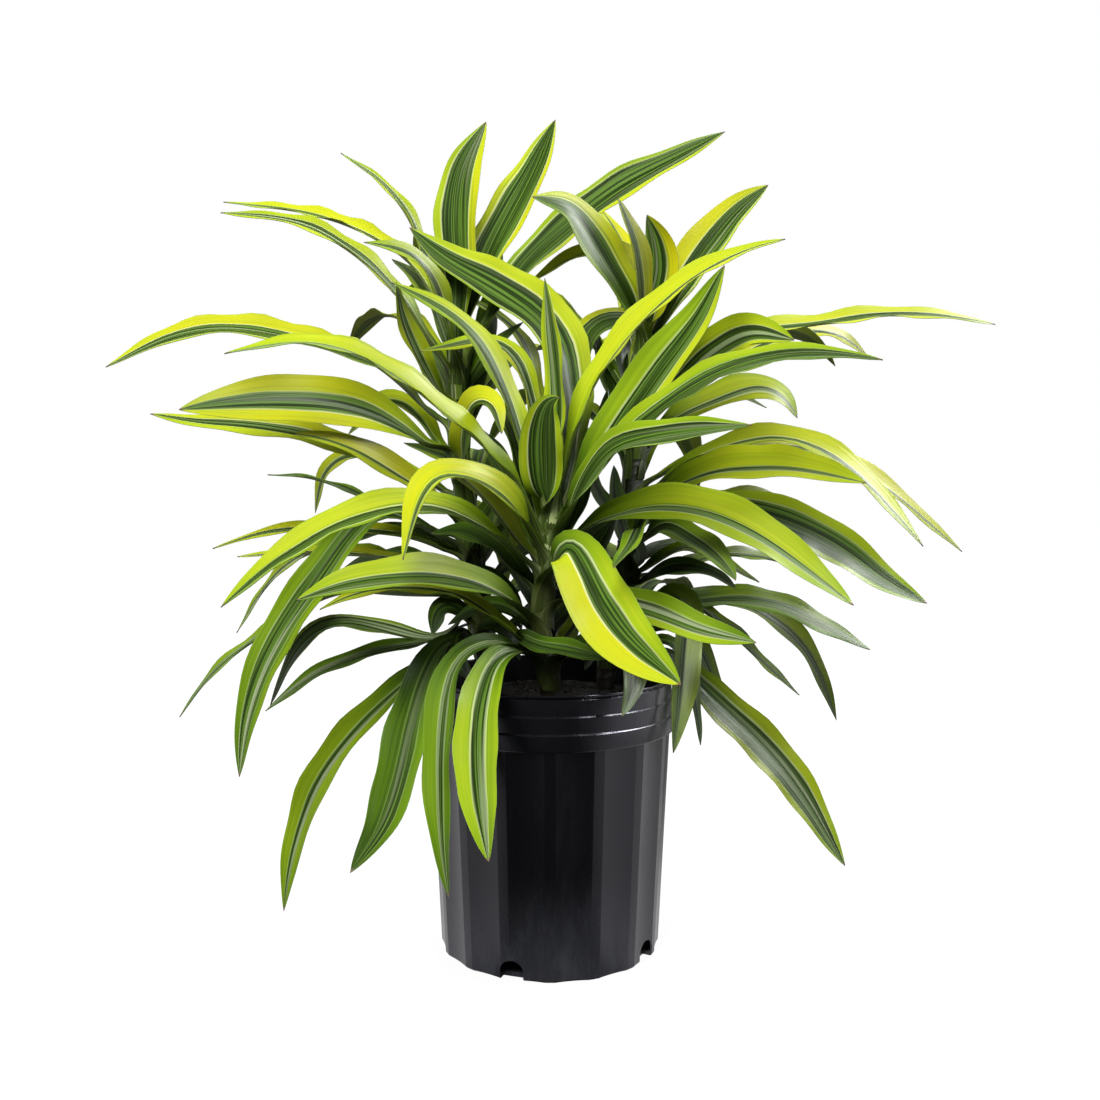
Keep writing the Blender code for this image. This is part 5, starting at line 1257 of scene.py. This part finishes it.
def make_bark(material):
    """Small chips of bark and fibre that lie in the soil's surface, every which way."""
    draw = random.Random(LOOK_SEED)
    corners, faces = [], []
    ball = bmesh.new()
    bmesh.ops.create_icosphere(ball, subdivisions=1, radius=1.0)
    ball_corners = [corner.co.copy() for corner in ball.verts]
    ball_faces = [tuple(corner.index for corner in face.verts) for face in ball.faces]
    ball.free()
    canes = [Vector(path[0]).to_2d() for path in CANE_PATHS.values()]
    reach = inner_radius(SOIL_TOP) - CHIP_LENGTHS[1]
    while len(corners) < BARK_CHIPS * len(ball_corners):
        angle = draw.uniform(0, 2 * math.pi)
        away = reach * math.sqrt(draw.random())
        x, y = away * math.cos(angle), away * math.sin(angle)
        length = draw.uniform(*CHIP_LENGTHS) * draw.uniform(*CHIP_SHORTER)
        if min((Vector((x, y)) - cane).length for cane in canes) < CANE_RADIUS + length * CHIP_CLEAR:
            continue
        half_width = length * draw.uniform(*CHIP_WIDTHS)
        size = Vector((length / 2, half_width, length * draw.uniform(*CHIP_THICKNESSES)))
        turn = Matrix.Rotation(draw.uniform(0, 2 * math.pi), 3, "Z")
        turn = turn @ Matrix.Rotation(draw.uniform(-CHIP_TILT, CHIP_TILT), 3, "Y")
        seed = Vector((draw.uniform(0, CHIP_SEEDS), 0, 0))
        place = Vector((x, y, soil_height(x, y) + size.z * CHIP_LIFT))
        first = len(corners)
        for corner in ball_corners:
            rough = 1 + CHIP_ROUGHNESS * noise.noise(corner * CHIP_LUMP_CELLS + seed)
            corners.append(place + turn @ Vector([c * s * rough for c, s in zip(corner, size)]))
        faces += [tuple(first + corner for corner in face) for face in ball_faces]
    bark = new_object("bark_chips", corners, faces)
    bark.data.shade_flat()
    dress(bark, material, "soil")


def linear(hexadecimal):
    """A screen colour such as "#86B80E" as the linear colour that shaders take."""
    channels = [int(hexadecimal[i:i + 2], 16) / 255 for i in (1, 3, 5)]
    return tuple(c / 12.92 if c <= 0.04045 else ((c + 0.055) / 1.055) ** 2.4 for c in channels)


class Shading:
    """One material and short words for the nodes that feed its shader."""

    def __init__(self, name):
        self.material = bpy.data.materials.new(name)
        self.material.use_nodes = True
        self.tree = self.material.node_tree
        self.shader = self.tree.nodes["Principled BSDF"]

    def feed(self, node, inputs):
        """Links or sets a node's inputs, each (name or place, value); a colour gets its fourth channel."""
        for key, value in inputs:
            socket = node.inputs[key]
            if isinstance(value, bpy.types.NodeSocket):
                self.tree.links.new(value, socket)
            elif isinstance(value, tuple) and len(socket.default_value) > 3:
                socket.default_value = (*value, 1.0)
            else:
                socket.default_value = value

    def add(self, kind, *inputs):
        node = self.tree.nodes.new("ShaderNode" + kind)
        self.feed(node, inputs)
        return node

    def set(self, **values):
        """Feeds the shader's inputs, with underscores for the spaces in their names."""
        self.feed(self.shader, [(name.replace("_", " "), value) for name, value in values.items()])

    def reckon(self, operation, *values, clamp=False):
        node = self.add("Math", *enumerate(values))
        node.operation = operation
        node.use_clamp = clamp
        return node.outputs[0]

    def plus(self, first, second):
        return self.reckon("ADD", first, second)

    def minus(self, first, second, clamp=False):
        return self.reckon("SUBTRACT", first, second, clamp=clamp)

    def times(self, first, second):
        return self.reckon("MULTIPLY", first, second)

    def size(self, value):
        return self.reckon("ABSOLUTE", value)

    def centred(self, value, strength):
        """Noise, which lies round a half, as a value round nought of so great a strength."""
        return self.times(self.minus(value, 0.5), strength)

    def parts(self, vector):
        return self.add("SeparateXYZ", (0, vector)).outputs

    def joined(self, *values):
        return self.add("CombineXYZ", *enumerate(values)).outputs[0]

    def carried(self, name):
        """The parts of a value that the corners carry."""
        node = self.add("Attribute")
        node.attribute_name = name
        return self.parts(node.outputs["Vector"])

    def place(self, cells=(1, 1, 1)):
        """The place on the object, in metres or in so many cells a metre each way."""
        node = self.add("VectorMath", (0, self.add("TexCoord").outputs["Object"]), (1, cells))
        node.operation = "MULTIPLY"
        return node.outputs[0]

    def noise(self, vector, detail, roughness=0.5):
        inputs = (("Vector", vector), ("Scale", 1.0), ("Detail", detail), ("Roughness", roughness))
        return self.add("TexNoise", *inputs).outputs[0]

    def streaks(self, across, run, cells, seed):
        """Noise drawn out along a leaf, with its cells across half a blade and along a metre."""
        place = self.joined(self.times(across, cells[0]), self.times(run, cells[1]), seed)
        return self.noise(place, detail=1.0)

    def rise(self, value, low, high, to_low=0.0, to_high=1.0):
        """Goes smoothly from to_low to to_high as the value goes from low to high."""
        ends = (("From Min", low), ("From Max", high), ("To Min", to_low), ("To Max", to_high))
        node = self.add("MapRange", ("Value", value), *ends)
        node.interpolation_type = "SMOOTHSTEP"
        return node.outputs[0]

    def mix(self, share, first, second):
        # A mixing node has sockets for several kinds of value; 6, 7 and 2 are those for colours.
        node = self.add("Mix")
        node.data_type = "RGBA"
        self.feed(node, (("Factor", share), (6, first), (7, second)))
        return node.outputs[2]

    def ramp(self, value, stops):
        node = self.add("ValToRGB", (0, value))
        while len(node.color_ramp.elements) < len(stops):
            node.color_ramp.elements.new(0.5)
        for element, (position, colour) in zip(node.color_ramp.elements, stops):
            element.position = position
            element.color = (*linear(colour), 1.0)
        return node.outputs[0]

    def bump(self, height, distance):
        node = self.add("Bump", ("Height", height), ("Distance", distance), ("Strength", 1.0))
        self.set(Normal=node.outputs[0])


def leaf_material():
    """Lime margins, a dark green band with silvery streaks, partly a painted sheen, and cream lines
    between them.
    """
    look = Shading("striped_leaf")
    across, run, upper = look.carried("blade")
    low, high, seed = look.carried("band")
    right, left, silver_sheen = look.carried("tone")
    tip, pale_base, painted_shade = look.carried("tip")

    # Long streaks run the whole leaf, and the band's edges wander and break up along them.
    streak = look.streaks(across, run, STREAK_CELLS, seed)
    fine = look.streaks(across, run, LINE_CELLS, seed)
    wander = look.streaks(look.reckon("SIGN", across), run, WANDER_CELLS, seed)
    wobble = look.plus(look.centred(wander, BAND_WANDER), look.centred(fine, BAND_FRAY))
    where = look.plus(across, wobble)
    from_low = look.minus(where, low)
    from_high = look.minus(where, high)
    band = look.times(
        look.rise(from_low, -BAND_SOFTNESS, BAND_SOFTNESS),
        look.rise(from_high, BAND_SOFTNESS, -BAND_SOFTNESS),
    )

    # The margins go from deep green to lemon, each by its own share, and are greener near the root.
    on_left = look.rise(where, *LEFT_FROM)
    own = look.plus(right, look.times(on_left, look.minus(left, right)))
    yellow = look.plus(own, look.centred(streak, MARGIN_VARIES))
    yellow = look.minus(yellow, look.rise(tip, *ROOT_GREENER))
    yellow = look.minus(yellow, look.rise(tip, *TIP_GREENER), clamp=True)
    margin = look.ramp(yellow, MARGIN_STOPS)
    beside = look.reckon("MINIMUM", look.size(from_low), look.size(from_high))
    pinstripe = look.times(look.rise(fine, *PINSTRIPES), look.rise(beside, PINSTRIPE_REACH, 0.0))
    margin = look.mix(look.rise(fine, *MARGIN_LINES), margin, linear(BAND_GREEN))
    margin = look.mix(look.times(pinstripe, PINSTRIPE_STRENGTH), margin, linear(BAND_GREEN))

    # The band has lighter green streaks, and silvery ones on some leaves, partly real and partly a painted
    # sheen.
    dark = look.mix(look.rise(fine, *BAND_LINES), linear(BAND_DARK), linear(BAND_GREEN))
    dark = look.mix(look.rise(own, *DARKER_BAND), dark, linear(BAND_DARK))
    painted_sheen = look.times(look.rise(streak, *SILVER_SHEEN_STREAKS), silver_sheen)
    dark = look.mix(painted_sheen, dark, linear(BAND_SILVER_SHEEN))
    colour = look.mix(band, margin, dark)

    # Cream lines follow the band's edges; a painted highlight makes the blade's own edges a little paler.
    strength = look.times(look.rise(tip, *CREAM_ALONG), look.rise(own, *CREAM_BY_YELLOW))
    strength = look.times(strength, look.rise(streak, *CREAM_STREAKS))
    cream = look.times(look.rise(beside, CREAM_WIDTH, 0.0), strength)
    colour = look.mix(cream, colour, look.mix(own, linear(CREAM_GREEN), linear(CREAM_YELLOW)))
    colour = look.mix(look.rise(look.size(across), *EDGE_HIGHLIGHT), colour, linear(CREAM_GREEN))

    # The base has painted shade, some bases have pale edges, the tip is brown, and the underside dull.
    dark = look.times(look.rise(run, *PAINTED_SHADE_OVER, BASE_PAINTED_SHADE, 0.0), painted_shade)
    colour = look.mix(dark, colour, (0.0, 0.0, 0.0))
    pale = look.times(look.rise(run, *PALE_ALONG), pale_base)
    pale = look.times(pale, look.rise(look.size(across), *PALE_ACROSS))
    colour = look.mix(pale, colour, linear(BASE_PALE))
    colour = look.mix(look.rise(tip, *TIP_BROWN_FROM), colour, linear(TIP_BROWN))
    under = look.mix(look.rise(run, *UNDERSIDE_ALONG), colour, linear(UNDERSIDE))
    colour = look.mix(upper, under, colour)
    look.set(Base_Color=colour, Roughness=look.rise(fine, *LEAF_ROUGHNESS), Specular_IOR_Level=LEAF_SPECULAR)
    look.bump(streak, LEAF_RIB_HEIGHT)
    return look.material


def cane_material():
    """Skin that goes from dark brown at the soil to dark green, darkened all over with painted shade,
    with a dark line at each leaf scar.
    """
    look = Shading("cane_skin")
    height = look.parts(look.place())[2]
    patches = look.noise(look.place(CANE_PATCH_CELLS), detail=4.0)
    skin = look.ramp(look.rise(height, *CANE_COLOUR_HEIGHTS), CANE_PAINTED_SHADE_STOPS)
    skin = look.mix(look.rise(patches, *CANE_PATCHES), skin, linear(CANE_PATCH))
    turns = look.reckon("FRACT", look.reckon("DIVIDE", height, SCAR_STEP))
    line = look.rise(look.size(look.minus(turns, SCAR_LINE_AT)), *SCAR_LINE)
    skin = look.mix(line, skin, linear(CANE_SCAR))
    look.set(Base_Color=skin, Roughness=look.rise(patches, *CANE_ROUGHNESS))
    look.bump(look.noise(look.place(CANE_FIBRE_CELLS), detail=5.0), CANE_FIBRE_HEIGHT)
    return look.material


def pot_material():
    """Black blow-moulded plastic, satin, a little scuffed, and paler towards the foot with dust and a
    painted reflection of the floor.
    """
    look = Shading("pot_plastic")
    height = look.parts(look.place())[2]
    scuffs = look.noise(look.place(SCUFF_CELLS), detail=6.0, roughness=0.62)
    specks = look.noise(look.place(SPECK_CELLS), detail=3.0)
    # Dust and a painted reflection of the floor, towards the foot
    dust_and_reflection = look.times(look.rise(height, *DUST_AND_REFLECTION_HEIGHTS), look.rise(scuffs, *DUST_AND_REFLECTION_BY_SCUFFS))
    colour = look.mix(dust_and_reflection, linear(POT_BLACK), linear(POT_DUST_AND_REFLECTION))
    marks = look.times(look.rise(specks, *SPECKS), look.rise(height, *SPECK_HEIGHTS))
    colour = look.mix(marks, colour, linear(POT_SCUFF))
    look.set(Base_Color=colour, Roughness=look.rise(scuffs, *POT_ROUGHNESS))
    look.set(Specular_IOR_Level=POT_SPECULAR, Specular_Tint=linear(POT_GLOSS_TINT))
    look.bump(specks, SPECK_HEIGHT)
    return look.material


def soil_material(name, dark, light):
    """Crumbs from dark to light, for the soil and for the bark."""
    look = Shading(name)
    crumbs = look.noise(look.place(CRUMB_CELLS), detail=6.0, roughness=0.7)
    lumps = look.noise(look.place(LUMP_CELLS), detail=3.0)
    mixed = look.times(crumbs, look.rise(lumps, *CRUMBS_BY_LUMPS))
    colour = look.mix(look.rise(mixed, *SOIL_LIGHT), linear(dark), linear(light))
    look.set(Base_Color=colour, Roughness=look.rise(crumbs, *SOIL_DULLNESS))
    look.bump(crumbs, CRUMB_HEIGHT)
    return look.material


def floor_material():
    """White to the camera but for a faint painted shade round the pot, and, beside the pot, glowing for
    gloss rays only, a painted reflection in the pot; otherwise dark.
    """
    look = Shading("studio_floor")
    grey = look.rise(look.noise(look.place(FLOOR_CELLS), detail=2.0), *FLOOR_GREY)
    look.set(Base_Color=look.joined(grey, grey, grey), Roughness=FLOOR_ROUGHNESS, Specular_IOR_Level=0.0)
    x, y, _ = look.parts(look.place())
    away = look.reckon("SQRT", look.plus(look.times(x, x), look.times(y, y)))
    path = look.tree.nodes.new("ShaderNodeLightPath").outputs
    beside = look.rise(look.reckon("DIVIDE", look.size(x), away), *SIDE_GLOW)
    glow = look.plus(
        look.times(look.rise(away, *FLOOR_WHITE), path["Is Camera Ray"]),
        look.times(beside, path["Is Glossy Ray"]),
    )
    look.set(Emission_Color=(1.0, 1.0, 1.0), Emission_Strength=glow)
    return look.material


def make_floor():
    half = FLOOR_SIZE / 2
    corners = [(-half, -half, 0), (half, -half, 0), (half, half, 0), (-half, half, 0)]
    floor = new_object("studio_floor", corners, [(0, 1, 2, 3)])
    floor.data.materials.append(floor_material())


def make_world():
    """White behind the plant as the camera sees it, and a soft grey that lights it."""
    world = bpy.data.worlds.new("studio")
    bpy.context.scene.world = world
    world.use_nodes = True
    tree = world.node_tree
    back = tree.nodes["Background"]
    seen = tree.nodes.new("ShaderNodeLightPath").outputs["Is Camera Ray"]
    strength = tree.nodes.new("ShaderNodeMapRange")
    strength.inputs["To Min"].default_value = FILL_LIGHT
    strength.inputs["To Max"].default_value = 1.0
    tree.links.new(seen, strength.inputs["Value"])
    tree.links.new(strength.outputs[0], back.inputs["Strength"])
    back.inputs["Color"].default_value = (1, 1, 1, 1)


def make_softbox(name, place, aim, size, power, lights, shines):
    lamp = bpy.data.lights.new(name, "AREA")
    lamp.shape = "RECTANGLE"
    lamp.size, lamp.size_y = size
    lamp.energy = power
    made = bpy.data.objects.new(name, lamp)
    made.location = place
    made.visible_diffuse = lights
    made.visible_glossy = shines
    made.rotation_euler = (Vector(aim) - Vector(place)).to_track_quat("-Z", "Y").to_euler()
    bpy.context.scene.collection.objects.link(made)


def make_camera():
    lens = bpy.data.cameras.new("camera")
    lens.lens = CAMERA_LENS_MM
    lens.sensor_width = SENSOR_MM
    camera = bpy.data.objects.new("camera", lens)
    camera.location = STANDPOINT
    camera.rotation_euler = (math.radians(90 - CAMERA_TILT_DOWN_DEG), 0, 0)
    bpy.context.scene.collection.objects.link(camera)
    bpy.context.scene.camera = camera


def main():
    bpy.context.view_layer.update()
    bpy.context.scene.view_settings.view_transform = "Standard"
    make_camera()
    make_pot(pot_material())
    make_soil(soil_material("soil_mix", *SOIL_COLOURS))
    make_bark(soil_material("bark", *BARK_COLOURS))
    leaves = all_leaves()
    striped = leaf_material()
    skin = cane_material()
    for cane in CANE_PATHS:
        make_leaves(cane, leaves, striped)
        make_cane(cane, skin)
    make_floor()
    make_world()
    for softbox in SOFTBOXES:
        make_softbox(*softbox)


main()
